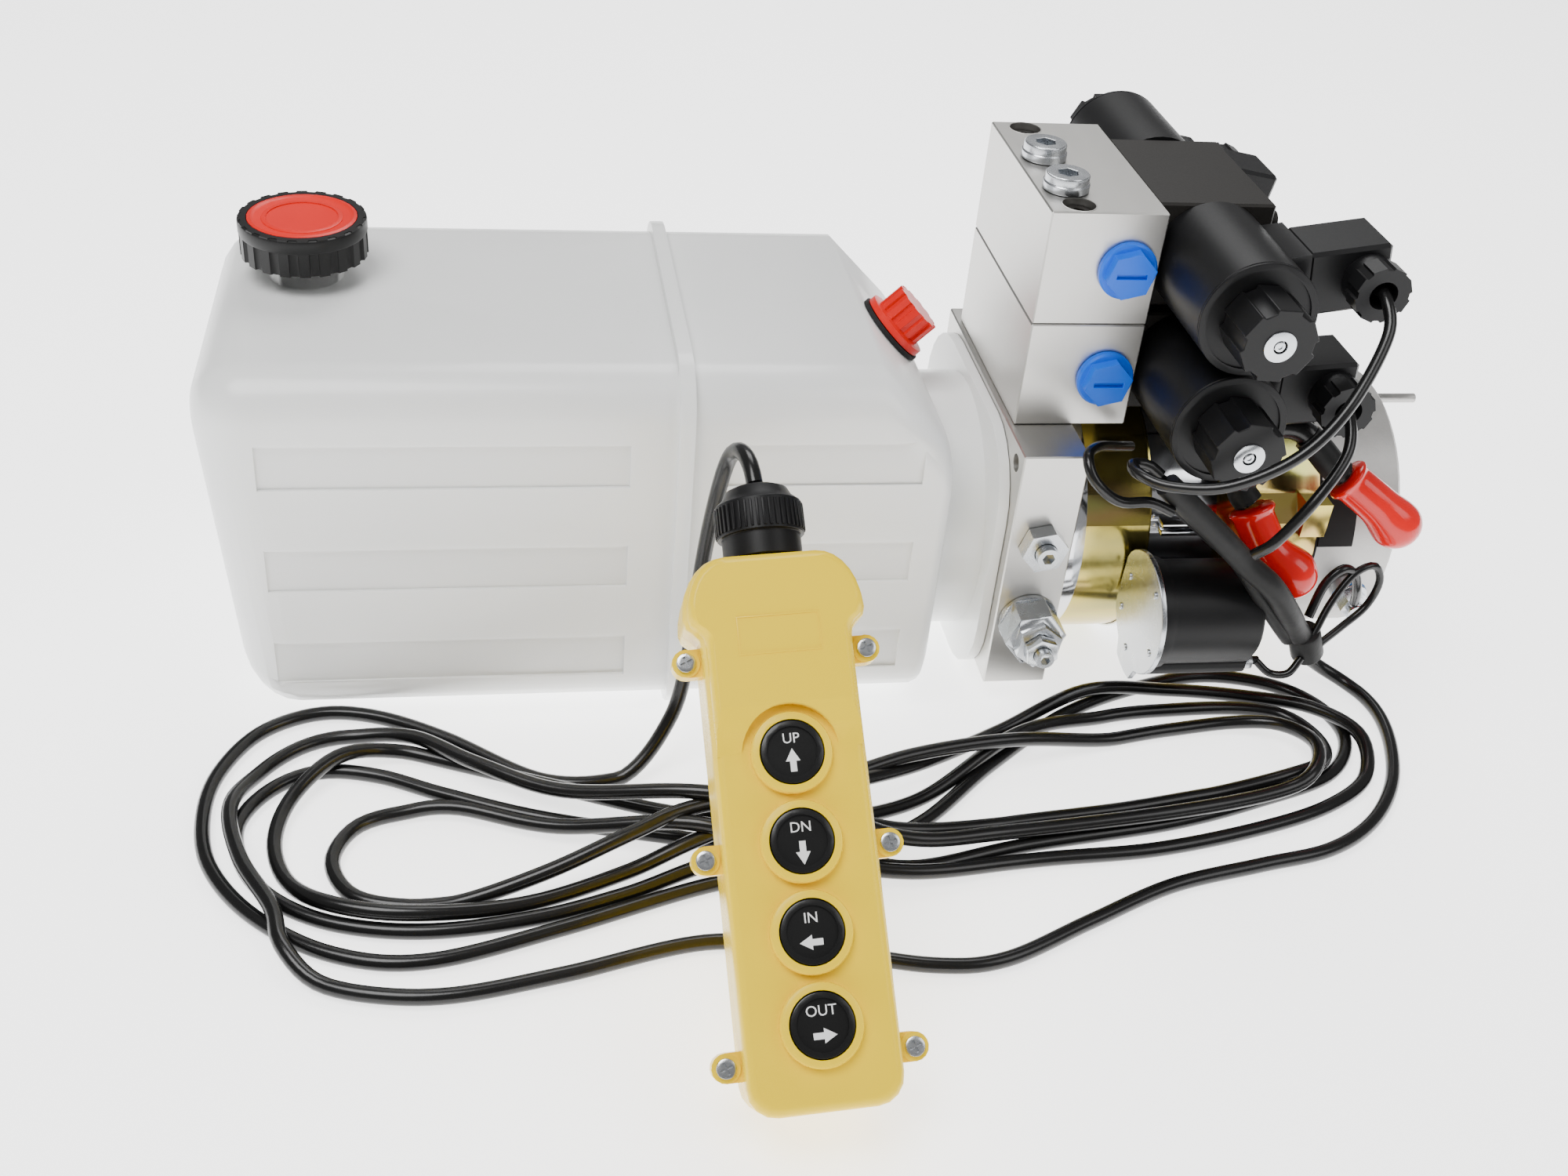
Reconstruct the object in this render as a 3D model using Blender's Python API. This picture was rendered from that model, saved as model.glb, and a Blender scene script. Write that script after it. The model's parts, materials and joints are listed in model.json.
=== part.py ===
"""Hydraulic power unit: oil tank, valve stack, direct-current motor, contactor and a four-button pendant.

The unit stands on z = 0. X runs from the tank to the motor along the motor's axis, Y runs from the pendant
to the back, and Z is up. Stations along the motor's axis count from the left face of the valve blocks.
"""

import math

import bmesh
import bpy
from mathutils import Matrix, Vector

MM = 0.001
GAP = 0.3

# Driving dimensions, in millimetres. The origin is the centre of the unit's footprint.
ORIGIN_X = -64.5
ORIGIN_Y = -102.0
AXIS_Z = 64.0

TANK_RIGHT = -31.0
TANK_LEFT_TOP = -341.0
TANK_LEFT_BOTTOM = -327.5
TANK_HALF_WIDTH = 81.0
TANK_BOTTOM = 5.0
TANK_TOP = 168.0
TANK_CORNER = 20.0
TANK_WALL = 3.0
SHOULDER_RUN = 34.0
SEAM_X = -146.0
SEAM_THICKNESS = 6.0
SEAM_HEIGHT = 4.7
NECK_RADIUS = 60.0
NECK_BORE = 54.0
FLANGE_HALF_WIDTH = 70.0
FLANGE_HALF_HEIGHT = 64.2
FLANGE_THICKNESS = 4.7
FILLER = Vector((-298.5, 17.0))
FILLER_RADIUS = 15.5
FILLER_BORE = 12.5
FILLER_TOP = 187.0
CAP_RADIUS = 26.0
CAP_BOTTOM = 178.0
CAP_TOP = 194.0
BANDS_Z = ((121.0, 141.0), (72.0, 92.5), (25.0, 46.0))
BANDS_X = ((-314.0, -168.0), (-128.0, -46.0))
BAND_DEPTH = 1.6

MANIFOLD_X = (-2.0, 27.0)
MANIFOLD_Y = (-77.0, 63.0)
MANIFOLD_Z = (11.0, 131.7)
BLOCK_X = (0.0, 50.0)
BLOCK_HALF_DEPTH = 50.0
LOWER_BLOCK_Z = (132.0, 179.9)
UPPER_BLOCK_Z = (180.2, 230.0)
BOLT_X = 13.5
BOLT_Y = (42.2, -42.2)
GAUGE_PLUG_Y = (-26.0, 8.0)
GAUGE_PLUG_X = 12.3
PORT_X = 36.0
RELIEF_AT = (12.5, 88.0)
CHECK_AT = (13.0, 47.0)

VALVE_X = 76.0
VALVE_Z = {"upper": 205.5, "lower": 155.5}
VALVE_BODY_X = (50.3, 102.0)
VALVE_BODY_HALF_LENGTH = 36.0
VALVE_BODY_HALF_HEIGHT = 23.2
SPOOL_RADIUS = 6.0
COIL_RADIUS = 24.5
COIL_END = 95.0
NUT_END = 118.0
CONNECTOR_TILT = {("upper", -1): 8.8, ("lower", -1): 5.0, ("upper", 1): -10.0, ("lower", 1): -5.0}
CONNECTOR_Y = (46.0, 74.0)
CONNECTOR_REACH = (28.8, 64.0)
GLAND_REACH = 55.5

MOTOR_RADIUS = 63.0
MOTOR_START = 27.3
HOUSING_END = 151.0
MOTOR_END = 191.0
SHAFT_RADIUS = 7.5
THROUGH_STUD = (-6.0, 120.3, 212.0)
STRAP_X = (69.0, 100.0)
PUMP_RADIUS = 45.0
PUMP_X = (-95.0, -2.3)
GEAR_SPAN = 24.2
GEAR_TEETH = 10
GEAR_X = (-38.0, -18.0)

CONTACTOR_AT = (-88.3, 58.0)
CONTACTOR_X = (62.3, 110.0)
CONTACTOR_RADIUS = 23.5
POWER_STUD_AT = (-86.0, 73.0)
MOTOR_BOOT = (Vector((176.0, -77.5, 97.0)), Vector((151.0, -68.5, 115.0)))
CONTACTOR_BOOT = (Vector((129.0, -86.0, 76.0)), Vector((109.5, -69.5, 101.0)))
LINK_RADIUS = 5.5
GROUND_AT = (172.0, 51.0)

PENDANT_AT = Vector((-123.8, -233.5, 110.0))
PENDANT_RISE = 41.0
PENDANT_TURN = -4.0
PENDANT_ROLL = 5.0
BUTTON_PITCH = 30.4
BUTTON_RADIUS = 11.0
PENDANT_HALF_WIDTH = 26.8
HEAD_HALF_WIDTH = 32.5
HEAD_TOP_HALF = 16.0
GRIP_CORNER = 10.0
SHELL_EDGE = ((4.0, 0.0), (2.2, 0.5), (0.8, 1.6), (0.0, 3.8))
PENDANT_TOP = 72.0
PENDANT_BOTTOM = -119.5
PANEL_LEVEL = -3.0
HEAD_LEVEL = 2.0
HEAD_LEVELS = (
    (PANEL_LEVEL - 3.0, 1.2, 0.0), (PANEL_LEVEL, 1.4, 1.0), (0.6, 1.8, 9.0), (HEAD_LEVEL, 4.2, 17.0),
)
SPLIT_LEVEL = -20.0
BACK_LEVEL = -38.0
SHELL_WALL = 2.5
EAR_ROWS = (36.0, -33.0, -102.0)
EAR_OFFSET = 32.2
GLAND_LEVEL = -19.0
GLAND_END = 100.0

CORD_RADIUS = 3.2
LEAD_RADIUS = 2.5
SLEEVE_RADIUS = 5.4

# The pendant cord's route: out of the gland, over and down behind the pendant, through the loops on the
# floor, and up to the taped junction beside the contactor.
CORD_ROUTE = (
    (-128.5, -144.6, 162.5), (-129.2, -139.1, 165.7), (-130.2, -132.9, 166.8), (-131.6, -125.3, 165.1),
    (-133.2, -119.1, 160.4), (-134.8, -115.6, 153.0), (-136.8, -113.3, 140.0), (-139.0, -108.5, 116.0),
    (-140.8, -104.5, 88.0), (-142.5, -103.5, 58.0), (-150.0, -111.0, 25.0), (-172.0, -125.0, 3.5),
    (-205.0, -124.0, 3.5), (-245.0, -95.0, 3.5), (-275.0, -79.0, 3.5), (-300.0, -76.0, 3.5),
    (-323.0, -88.0, 3.5), (-337.0, -113.0, 3.5), (-340.0, -140.0, 3.5), (-334.0, -168.0, 3.5),
    (-315.0, -195.0, 3.5), (-285.0, -216.0, 3.5), (-250.0, -222.0, 3.5), (-200.0, -209.0, 3.5),
    (-145.0, -191.0, 3.5), (-95.0, -180.0, 3.5), (-50.0, -161.0, 3.5), (-10.0, -126.0, 3.5),
    (35.0, -92.0, 3.5), (78.0, -74.0, 3.5), (112.0, -68.0, 3.5), (143.0, -77.0, 3.5), (160.0, -96.0, 3.5),
    (161.0, -119.0, 3.5), (143.0, -141.0, 3.5), (105.0, -155.0, 3.5), (59.0, -167.0, 3.5),
    (-7.0, -176.0, 3.5), (-60.0, -186.0, 3.9), (-100.0, -176.0, 8.9), (-145.0, -164.0, 3.5),
    (-204.0, -148.0, 3.5), (-245.0, -131.0, 3.5), (-272.0, -118.0, 3.5), (-296.0, -114.0, 3.5),
    (-315.0, -124.0, 3.5), (-326.0, -144.0, 3.5), (-322.0, -167.0, 3.5), (-308.0, -187.0, 3.5),
    (-284.0, -201.0, 3.5), (-250.0, -207.0, 3.5), (-210.0, -203.0, 3.5), (-175.0, -193.0, 3.5),
    (-145.0, -182.0, 5.8), (-95.0, -168.0, 11.7), (-45.0, -145.0, 3.5), (5.0, -113.0, 10.4),
    (50.0, -96.0, 3.5), (90.0, -92.0, 3.5), (122.0, -93.0, 3.5), (140.5, -100.5, 3.5), (148.0, -119.0, 4.6),
    (140.5, -137.5, 9.0), (122.0, -145.0, 8.7), (84.0, -150.0, 3.5), (40.0, -157.0, 3.5),
    (-15.0, -163.0, 3.5), (-60.0, -171.0, 10.9), (-100.0, -163.0, 16.4), (-145.0, -152.0, 6.2),
    (-197.0, -133.0, 6.5), (-240.0, -112.0, 3.5), (-266.0, -104.0, 5.0), (-288.0, -112.0, 10.2),
    (-305.0, -130.0, 6.1), (-311.0, -153.0, 3.5), (-305.0, -176.0, 3.5), (-288.0, -194.0, 8.3),
    (-258.0, -202.0, 8.8), (-215.0, -197.0, 5.1), (-175.0, -184.0, 6.3), (-145.0, -174.0, 13.2),
    (-95.0, -158.0, 21.7), (-45.0, -130.0, 9.1), (0.0, -103.0, 3.5), (45.0, -84.0, 10.1), (88.0, -80.0, 5.6),
    (125.0, -84.0, 3.5), (152.0, -98.0, 7.3), (166.0, -120.0, 8.9), (160.0, -143.0, 3.6),
    (136.0, -160.0, 3.5), (100.0, -172.0, 3.5), (48.0, -182.0, 3.5), (-8.0, -185.0, 3.5),
    (-60.0, -192.0, 7.5), (-100.0, -186.0, 12.5), (-145.0, -171.0, 19.2), (-200.0, -156.0, 6.7),
    (-240.0, -141.0, 5.3), (-262.0, -141.0, 3.5), (-280.0, -148.5, 3.5), (-288.0, -167.0, 3.5),
    (-280.0, -185.5, 3.5), (-262.0, -193.0, 3.5), (-240.0, -193.0, 3.5), (-205.0, -186.0, 11.0),
    (-170.0, -174.0, 19.1), (-145.0, -163.0, 20.8), (-95.0, -148.0, 15.5), (-48.0, -132.0, 16.8),
    (0.0, -122.0, 14.7), (48.0, -112.0, 4.0), (82.0, -106.0, 3.5), (112.0, -105.0, 5.7),
    (130.0, -112.5, 10.0), (138.0, -131.0, 14.6), (130.0, -149.5, 14.7), (112.0, -157.0, 10.3),
    (62.0, -167.0, 10.5), (-15.0, -174.0, 9.6), (-60.0, -181.0, 15.5), (-100.0, -170.0, 24.7),
    (-145.0, -158.0, 24.6), (-197.0, -141.0, 12.5), (-232.0, -120.0, 10.8), (-258.0, -98.0, 7.3),
    (-284.0, -92.0, 3.5), (-305.0, -98.0, 3.5), (-322.0, -116.0, 3.8), (-329.0, -140.0, 9.4),
    (-322.0, -170.0, 10.4), (-308.0, -196.0, 9.3), (-303.0, -214.0, 8.4), (-290.0, -229.0, 3.9),
    (-268.0, -237.0, 3.5), (-240.0, -239.0, 3.5), (-200.0, -232.0, 3.5), (-145.0, -220.0, 3.5),
    (-100.0, -228.0, 3.5), (-60.0, -238.0, 3.5), (-31.0, -237.0, 3.5), (8.0, -220.0, 3.5),
    (48.0, -203.0, 3.5), (90.0, -194.0, 3.5), (124.0, -187.0, 3.5), (150.0, -172.0, 3.5),
    (170.0, -149.0, 3.5), (182.0, -122.0, 3.5), (186.0, -98.0, 3.5), (181.0, -79.0, 3.5),
    (168.0, -69.0, 8.5), (155.0, -71.0, 19.0), (147.5, -81.0, 31.0), (145.0, -91.0, 40.0),
)
CORD_RISER = 11
CORD_RISER_POINTS = 14
CORD_FLOOR_POINTS = 78


def millimetres(*values):
    """A point in metres from millimetre values."""
    return Vector(values) * MM


def along(origin, axis):
    """The placement whose local Z lies on an axis and whose origin is a point, both in millimetres."""
    turn = Vector(axis).normalized().to_track_quat("Z", "Y")
    return Matrix.Translation(Vector(origin) * MM) @ turn.to_matrix().to_4x4()


def frame_of(x_axis, y_axis, z_axis, origin):
    """The placement with these three unit axes and an origin in millimetres."""
    turn = Matrix((x_axis, y_axis, z_axis)).transposed().to_4x4()
    return Matrix.Translation(Vector(origin) * MM) @ turn


def clear_scene():
    """Remove every object of the open file."""
    for thing in list(bpy.data.objects):
        bpy.data.objects.remove(thing, do_unlink=True)


def finish(name, colour, roughness=0.5, metallic=0.0):
    """A Principled material."""
    material = bpy.data.materials.new(name)
    material.use_nodes = True
    shader = material.node_tree.nodes["Principled BSDF"]
    shader.inputs["Base Color"].default_value = (*colour, 1.0)
    shader.inputs["Roughness"].default_value = roughness
    shader.inputs["Metallic"].default_value = metallic
    return material


class Shop:
    """Adds named solids to the scene, all hung on one empty at the unit's own frame."""

    def __init__(self):
        self.root = bpy.data.objects.new("unit_frame", None)
        self.root.location = millimetres(-ORIGIN_X, -ORIGIN_Y, 0.0)
        bpy.context.scene.collection.objects.link(self.root)

    def add(self, name, bm, material=None, place=None):
        """Turn a bmesh in local millimetres into an object; without a material it is a hidden cutter."""
        bmesh.ops.scale(bm, vec=(MM, MM, MM), verts=bm.verts)
        bmesh.ops.remove_doubles(bm, verts=bm.verts, dist=1e-7)
        bmesh.ops.recalc_face_normals(bm, faces=bm.faces)
        mesh = bpy.data.meshes.new(name)
        bm.to_mesh(mesh)
        bm.free()
        solid = bpy.data.objects.new(name, mesh)
        bpy.context.scene.collection.objects.link(solid)
        solid.parent = self.root
        solid.matrix_local = place or Matrix.Identity(4)
        if material:
            mesh.materials.append(material)
            mesh.shade_smooth()
            mesh.set_sharp_from_angle(angle=math.radians(35))
        else:
            solid.hide_render = True
            solid.display_type = "WIRE"
        return solid

    def combine(self, solid, operation, *tools):
        """Leave one Boolean modifier on a solid for each tool."""
        for tool in tools:
            boolean = solid.modifiers.new(tool.name, "BOOLEAN")
            boolean.operation = operation
            boolean.solver = "EXACT"
            boolean.object = tool

    def cut(self, solid, *tools):
        self.combine(solid, "DIFFERENCE", *tools)

    def join(self, solid, *tools):
        self.combine(solid, "UNION", *tools)

    def tube(self, name, places, radius, material, sides=2):
        """A round cord through places in millimetres."""
        curve = bpy.data.curves.new(name, "CURVE")
        curve.dimensions = "3D"
        curve.bevel_depth = radius * MM
        curve.bevel_resolution = sides
        curve.use_fill_caps = True
        spline = curve.splines.new("POLY")
        spline.points.add(len(places) - 1)
        for point, place in zip(spline.points, places):
            place.z = max(place.z, radius + GAP)
            point.co = (*(place * MM), 1.0)
        curve.materials.append(material)
        cord = bpy.data.objects.new(name, curve)
        bpy.context.scene.collection.objects.link(cord)
        cord.parent = self.root
        return cord


def smooth_curve(route, count):
    """Evenly spaced points on a Catmull-Rom curve through a route."""
    route = [Vector(point) for point in route]
    ends = [route[0] * 2 - route[1], *route, route[-1] * 2 - route[-2]]
    fine = []
    for before, start, stop, after in zip(ends, ends[1:], ends[2:], ends[3:]):
        for step in range(24):
            t = step / 24
            fine.append(
                0.5 * (
                    2 * start
                    + (stop - before) * t
                    + (2 * before - 5 * start + 4 * stop - after) * t ** 2
                    + (3 * start - before - 3 * stop + after) * t ** 3
                )
            )
    fine.append(route[-1])
    lengths = [0.0]
    for one, two in zip(fine, fine[1:]):
        lengths.append(lengths[-1] + (two - one).length)
    places = []
    index = 0
    for number in range(count):
        target = lengths[-1] * number / (count - 1)
        while index < len(fine) - 2 and lengths[index + 1] < target:
            index += 1
        share = (target - lengths[index]) / (lengths[index + 1] - lengths[index])
        places.append(fine[index].lerp(fine[index + 1], share))
    return places


def polygon(radius, sides, turn=0.0):
    """The corners of a regular polygon."""
    step = 2 * math.pi / sides
    return [(radius * math.cos(turn + step * i), radius * math.sin(turn + step * i)) for i in range(sides)]


def hexagon(across_flats, turn=0.0):
    """A hexagon by its size across flats."""
    return polygon(across_flats / math.sqrt(3), 6, turn)


def fluted(radius, inner, lobes, share=0.5):
    """An outline with square ribs on it."""
    corners = []
    for lobe in range(lobes):
        for part, reach in ((0.0, radius), (share, radius), (share + 0.06, inner), (0.94, inner)):
            angle = 2 * math.pi * (lobe + part) / lobes
            corners.append((reach * math.cos(angle), reach * math.sin(angle)))
    return corners


def rounded_box(low, high, radius, arc=4):
    """A rectangle with round corners, counter-clockwise."""
    corners = []
    centres = (
        (high[0] - radius, high[1] - radius), (low[0] + radius, high[1] - radius),
        (low[0] + radius, low[1] + radius), (high[0] - radius, low[1] + radius),
    )
    for quarter, (x, y) in enumerate(centres):
        for step in range(arc + 1):
            angle = math.pi / 2 * (quarter + step / arc)
            corners.append((x + radius * math.cos(angle), y + radius * math.sin(angle)))
    return corners


def prism(outline, low, high):
    """An outline extruded from one height to another."""
    bm = bmesh.new()
    face = bm.faces.new([bm.verts.new((x, y, low)) for x, y in outline])
    top = bmesh.ops.extrude_face_region(bm, geom=[face])["geom"]
    raised = [item for item in top if isinstance(item, bmesh.types.BMVert)]
    bmesh.ops.translate(bm, vec=(0, 0, high - low), verts=raised)
    return bm


def turned(profile, steps=32, closed=False):
    """A profile of (radius, height) points turned about Z; a closed one makes a ring."""
    bm = bmesh.new()
    verts = [bm.verts.new((radius, 0, height)) for radius, height in profile]
    edges = [bm.edges.new(pair) for pair in zip(verts, verts[1:])]
    if closed:
        edges.append(bm.edges.new((verts[-1], verts[0])))
    bmesh.ops.spin(
        bm, geom=verts + edges, cent=(0, 0, 0), axis=(0, 0, 1), angle=2 * math.pi, steps=steps,
    )
    return bm


def rod(radius, low, high, steps=32):
    """A plain cylinder along Z."""
    return turned([(0, low), (radius, low), (radius, high), (0, high)], steps)


def ring(inner, outer, low, high, steps=32):
    """A plain tube along Z."""
    return turned([(inner, low), (outer, low), (outer, high), (inner, high)], steps, closed=True)


def slab(low, high, bevel=0.0):
    """A box between two corners, with its edges bevelled."""
    bm = bmesh.new()
    bmesh.ops.create_cube(bm, size=1)
    low, high = Vector(low), Vector(high)
    bmesh.ops.scale(bm, vec=high - low, verts=bm.verts)
    bmesh.ops.translate(bm, vec=(low + high) / 2, verts=bm.verts)
    if bevel:
        bmesh.ops.bevel(bm, geom=bm.edges[:], offset=bevel, segments=1, affect="EDGES")
    return bm


def slabs(pairs):
    """Several boxes in one bmesh."""
    bm = bmesh.new()
    for low, high in pairs:
        low, high = Vector(low), Vector(high)
        cube = bmesh.ops.create_cube(bm, size=1)["verts"]
        bmesh.ops.scale(bm, vec=high - low, verts=cube)
        bmesh.ops.translate(bm, vec=(low + high) / 2, verts=cube)
    return bm


def lofted(sections):
    """A skin over sections of equally many points, closed at both ends."""
    bm = bmesh.new()
    rings = [[bm.verts.new(point) for point in section] for section in sections]
    for one, two in zip(rings, rings[1:]):
        for i in range(len(one)):
            j = (i + 1) % len(one)
            bm.faces.new((one[i], one[j], two[j], two[i]))
    bm.faces.new(rings[0][::-1])
    bm.faces.new(rings[-1])
    return bm


def tank_skin(wall):
    """The tank's moulded body, shrunk by a wall thickness."""
    end_radius = 22.0
    shoulder_end = TANK_RIGHT - wall
    stations = []
    for step in range(7):
        angle = math.pi / 2 * step / 6
        reach, inset = end_radius * (1 - math.cos(angle)), end_radius * (1 - math.sin(angle))
        stations.append((TANK_LEFT_BOTTOM + wall + reach, inset))
    stations += [(SEAM_X, 0.0), (TANK_RIGHT - SHOULDER_RUN, 0.0)]
    for step in range(1, 4):
        stations.append((TANK_RIGHT - SHOULDER_RUN + (SHOULDER_RUN - 6.0) * step / 3, 0.0))
    stations += [(shoulder_end - 2.0, 1.5), (shoulder_end, 5.0)]
    sections = []
    for x, inset in stations:
        drop = max(0.0, x - (TANK_RIGHT - SHOULDER_RUN)) + 0.41 * wall * (x > TANK_RIGHT - SHOULDER_RUN)
        shrink = wall + inset
        low = (-TANK_HALF_WIDTH + shrink, TANK_BOTTOM + shrink)
        high = (TANK_HALF_WIDTH - shrink, TANK_TOP - shrink - drop)
        outline = rounded_box(low, high, max(TANK_CORNER - wall - inset * 0.5, 4.0))
        lean = max(0.0, min(1.0, (SEAM_X - x) / (SEAM_X - TANK_LEFT_BOTTOM)))
        draft = (TANK_LEFT_TOP - TANK_LEFT_BOTTOM) * lean
        span = TANK_TOP - TANK_BOTTOM
        sections.append([(x + draft * (z - TANK_BOTTOM) / span, y, z) for y, z in outline])
    return lofted(sections)


def make_materials():
    """One finish for each material slot."""
    return {
        "tank_plastic": finish("tank_plastic", (0.86, 0.87, 0.86), 0.35),
        "cap_black": finish("cap_black", (0.015, 0.015, 0.015), 0.4),
        "cap_red": finish("cap_red", (0.72, 0.03, 0.02), 0.4),
        "seal_rubber": finish("seal_rubber", (0.02, 0.02, 0.02), 0.7),
        "block_aluminium": finish("block_aluminium", (0.72, 0.71, 0.68), 0.38, 1.0),
        "zinc_steel": finish("zinc_steel", (0.66, 0.68, 0.70), 0.3, 1.0),
        "port_blue": finish("port_blue", (0.01, 0.18, 0.72), 0.4),
        "valve_black": finish("valve_black", (0.022, 0.02, 0.018), 0.5),
        "coil_black": finish("coil_black", (0.012, 0.012, 0.012), 0.45),
        "yellow_zinc": finish("yellow_zinc", (0.72, 0.60, 0.26), 0.2, 1.0),
        "cast_aluminium": finish("cast_aluminium", (0.62, 0.61, 0.59), 0.55, 1.0),
        "bright_chrome": finish("bright_chrome", (0.80, 0.81, 0.82), 0.08, 1.0),
        "iron_core": finish("iron_core", (0.30, 0.28, 0.26), 0.5, 1.0),
        "gear_steel": finish("gear_steel", (0.45, 0.45, 0.46), 0.3, 1.0),
        "boot_red": finish("boot_red", (0.68, 0.02, 0.015), 0.18),
        "cable_black": finish("cable_black", (0.012, 0.012, 0.012), 0.3),
        "sleeve_black": finish("sleeve_black", (0.015, 0.015, 0.015), 0.6),
        "pendant_yellow": finish("pendant_yellow", (0.92, 0.58, 0.02), 0.25),
        "button_black": finish("button_black", (0.02, 0.02, 0.02), 0.3),
        "strainer_mesh": finish("strainer_mesh", (0.5, 0.5, 0.45), 0.6),
    }


def add_tank(shop, looks):
    """The tank with its seam, neck, flange and bands, its two ports and what closes them."""
    tank = shop.add("tank_shell", tank_skin(0.0), looks["tank_plastic"])
    facing_x = frame_of((0, 1, 0), (0, 0, 1), (1, 0, 0), (0, 0, 0))
    seam_outline = rounded_box(
        (-TANK_HALF_WIDTH - SEAM_HEIGHT, TANK_BOTTOM - SEAM_HEIGHT),
        (TANK_HALF_WIDTH + SEAM_HEIGHT, TANK_TOP + SEAM_HEIGHT),
        TANK_CORNER + SEAM_HEIGHT,
    )
    seam = shop.add(
        "seam_plate",
        prism(seam_outline, SEAM_X - SEAM_THICKNESS / 2, SEAM_X + SEAM_THICKNESS / 2), None, facing_x,
    )
    neck = shop.add(
        "neck_tube", rod(NECK_RADIUS, TANK_RIGHT - 8, -5, 48), None, along((0, 0, AXIS_Z), (1, 0, 0)),
    )
    flange_outline = rounded_box(
        (-FLANGE_HALF_WIDTH, AXIS_Z + 0.6 - FLANGE_HALF_HEIGHT),
        (FLANGE_HALF_WIDTH, AXIS_Z + 0.6 + FLANGE_HALF_HEIGHT), 36.0, 6,
    )
    flange_face = MANIFOLD_X[0] - GAP
    flange = shop.add(
        "flange_plate", prism(flange_outline, flange_face - FLANGE_THICKNESS, flange_face), None, facing_x,
    )
    filler_neck = shop.add(
        "filler_neck", rod(FILLER_RADIUS, TANK_TOP - 4, FILLER_TOP), None, along((*FILLER, 0), (0, 0, 1)),
    )
    shop.join(tank, seam, neck, flange, filler_neck)
    inside = shop.add("tank_inside", tank_skin(TANK_WALL))
    neck_bore = shop.add(
        "neck_bore", rod(NECK_BORE, TANK_RIGHT - 12, 4, 48), None, along((0, 0, AXIS_Z), (1, 0, 0)),
    )
    filler_bore = shop.add(
        "filler_bore", rod(FILLER_BORE, TANK_TOP - 12, FILLER_TOP + 4), None, along((*FILLER, 0), (0, 0, 1)),
    )
    port = shoulder_place()
    port_bore = shop.add("shoulder_bore", rod(9.5, -10, 5, 24), None, port)
    bands = []
    for side in (-1, 1):
        for low_z, high_z in BANDS_Z:
            for low_x, high_x in BANDS_X:
                near, far = sorted((side * (TANK_HALF_WIDTH - BAND_DEPTH), side * (TANK_HALF_WIDTH + 3)))
                bands.append(((low_x, near, low_z), (high_x, far, high_z)))
    band_cutter = shop.add("band_cutter", slabs(bands))
    shop.cut(tank, inside, neck_bore, filler_bore, port_bore, band_cutter)

    cap_place = along((*FILLER, CAP_BOTTOM), (0, 0, 1))
    height = CAP_TOP - CAP_BOTTOM
    shop.add(
        "filler_gasket",
        ring(FILLER_BORE, FILLER_RADIUS - 0.5, FILLER_TOP - CAP_BOTTOM + GAP, height - 4.9, 24),
        looks["seal_rubber"], cap_place,
    )
    cap = shop.add(
        "filler_cap", prism(fluted(CAP_RADIUS, CAP_RADIUS - 1.2, 20), 0, height),
        looks["cap_black"], cap_place,
    )
    well = shop.add("cap_well", rod(FILLER_RADIUS + 0.8, -2, height - 4.6, 32), None, cap_place)
    dish = shop.add("cap_dish", rod(22.6, height - 2.7, height + 2, 32), None, cap_place)
    shop.cut(cap, well, dish)
    insert = [
        (0, height - 2.4), (22.3, height - 2.4), (22.3, height), (21.0, height + 0.4), (19.5, height - 0.6),
        (0, height - 1.2),
    ]
    shop.add("filler_cap_insert", turned(insert, 32), looks["cap_red"], cap_place)

    shop.add("shoulder_plug_gasket", ring(9.2, 17.0, GAP, 2.3, 32), looks["seal_rubber"], port)
    plug = [(0, -8), (8.6, -8), (8.6, 2.6), (16.0, 2.6), (16.0, 5.6), (12.5, 6.2), (0, 6.2)]
    head = shop.add("plug_head", prism(fluted(12.0, 10.6, 12), 5, 17.5), None, port)
    shop.join(shop.add("shoulder_plug", turned(plug, 32), looks["cap_red"], port), head)


def shoulder_place():
    """The middle of the tank's sloping shoulder, facing out."""
    middle = (TANK_RIGHT - SHOULDER_RUN / 2, 0, TANK_TOP - SHOULDER_RUN / 2)
    return along(middle, (1, 0, 1))


def add_pump(shop, looks):
    """The gear pump in the tank's neck, with its strainer and its two gears in mesh."""
    axis = along((0, 0, AXIS_Z), (1, 0, 0))
    pump = shop.add("pump_body", rod(PUMP_RADIUS, PUMP_X[0], PUMP_X[1], 32), looks["cast_aluminium"], axis)
    drive = along((0, 0, AXIS_Z), (1, 0, 0))
    driven = along((0, 0, AXIS_Z + GEAR_SPAN), (1, 0, 0))
    chambers = [
        shop.add(f"gear_chamber_{number}", rod(13.9, GEAR_X[0] - 1, PUMP_X[1] + 3, 32), None, place)
        for number, place in enumerate((drive, driven))
    ]
    shop.cut(pump, *chambers)
    for name, place, turn, reach in (("drive_gear", drive, 0.0, 5.0), ("driven_gear", driven, 18.0, -5.0)):
        gear = shop.add(name, prism(gear_outline(turn), *GEAR_X), looks["gear_steel"], place)
        shaft = shop.add(name + "_shaft", rod(6.0, GEAR_X[1] - 2, reach, 16), None, place)
        shop.join(gear, shaft)
    strainer = [(0, 0.3), (8, 0.3), (8, 24), (20, 26), (20, 76), (0, 76)]
    shop.add(
        "suction_strainer", turned(strainer, 24), looks["strainer_mesh"],
        along((PUMP_X[0], 0, 33), (-1, 0, 0)),
    )


def gear_outline(turn):
    """Ten plain teeth that mesh at the gears' centre distance, one pointing at the angle given."""
    corners = []
    for tooth in range(GEAR_TEETH):
        for offset, reach in ((-9.5, 10.5), (-4.2, 13.4), (4.2, 13.4), (9.5, 10.5)):
            angle = math.radians(tooth * 360 / GEAR_TEETH + offset + turn)
            corners.append((reach * math.cos(angle), reach * math.sin(angle)))
    return corners


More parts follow.
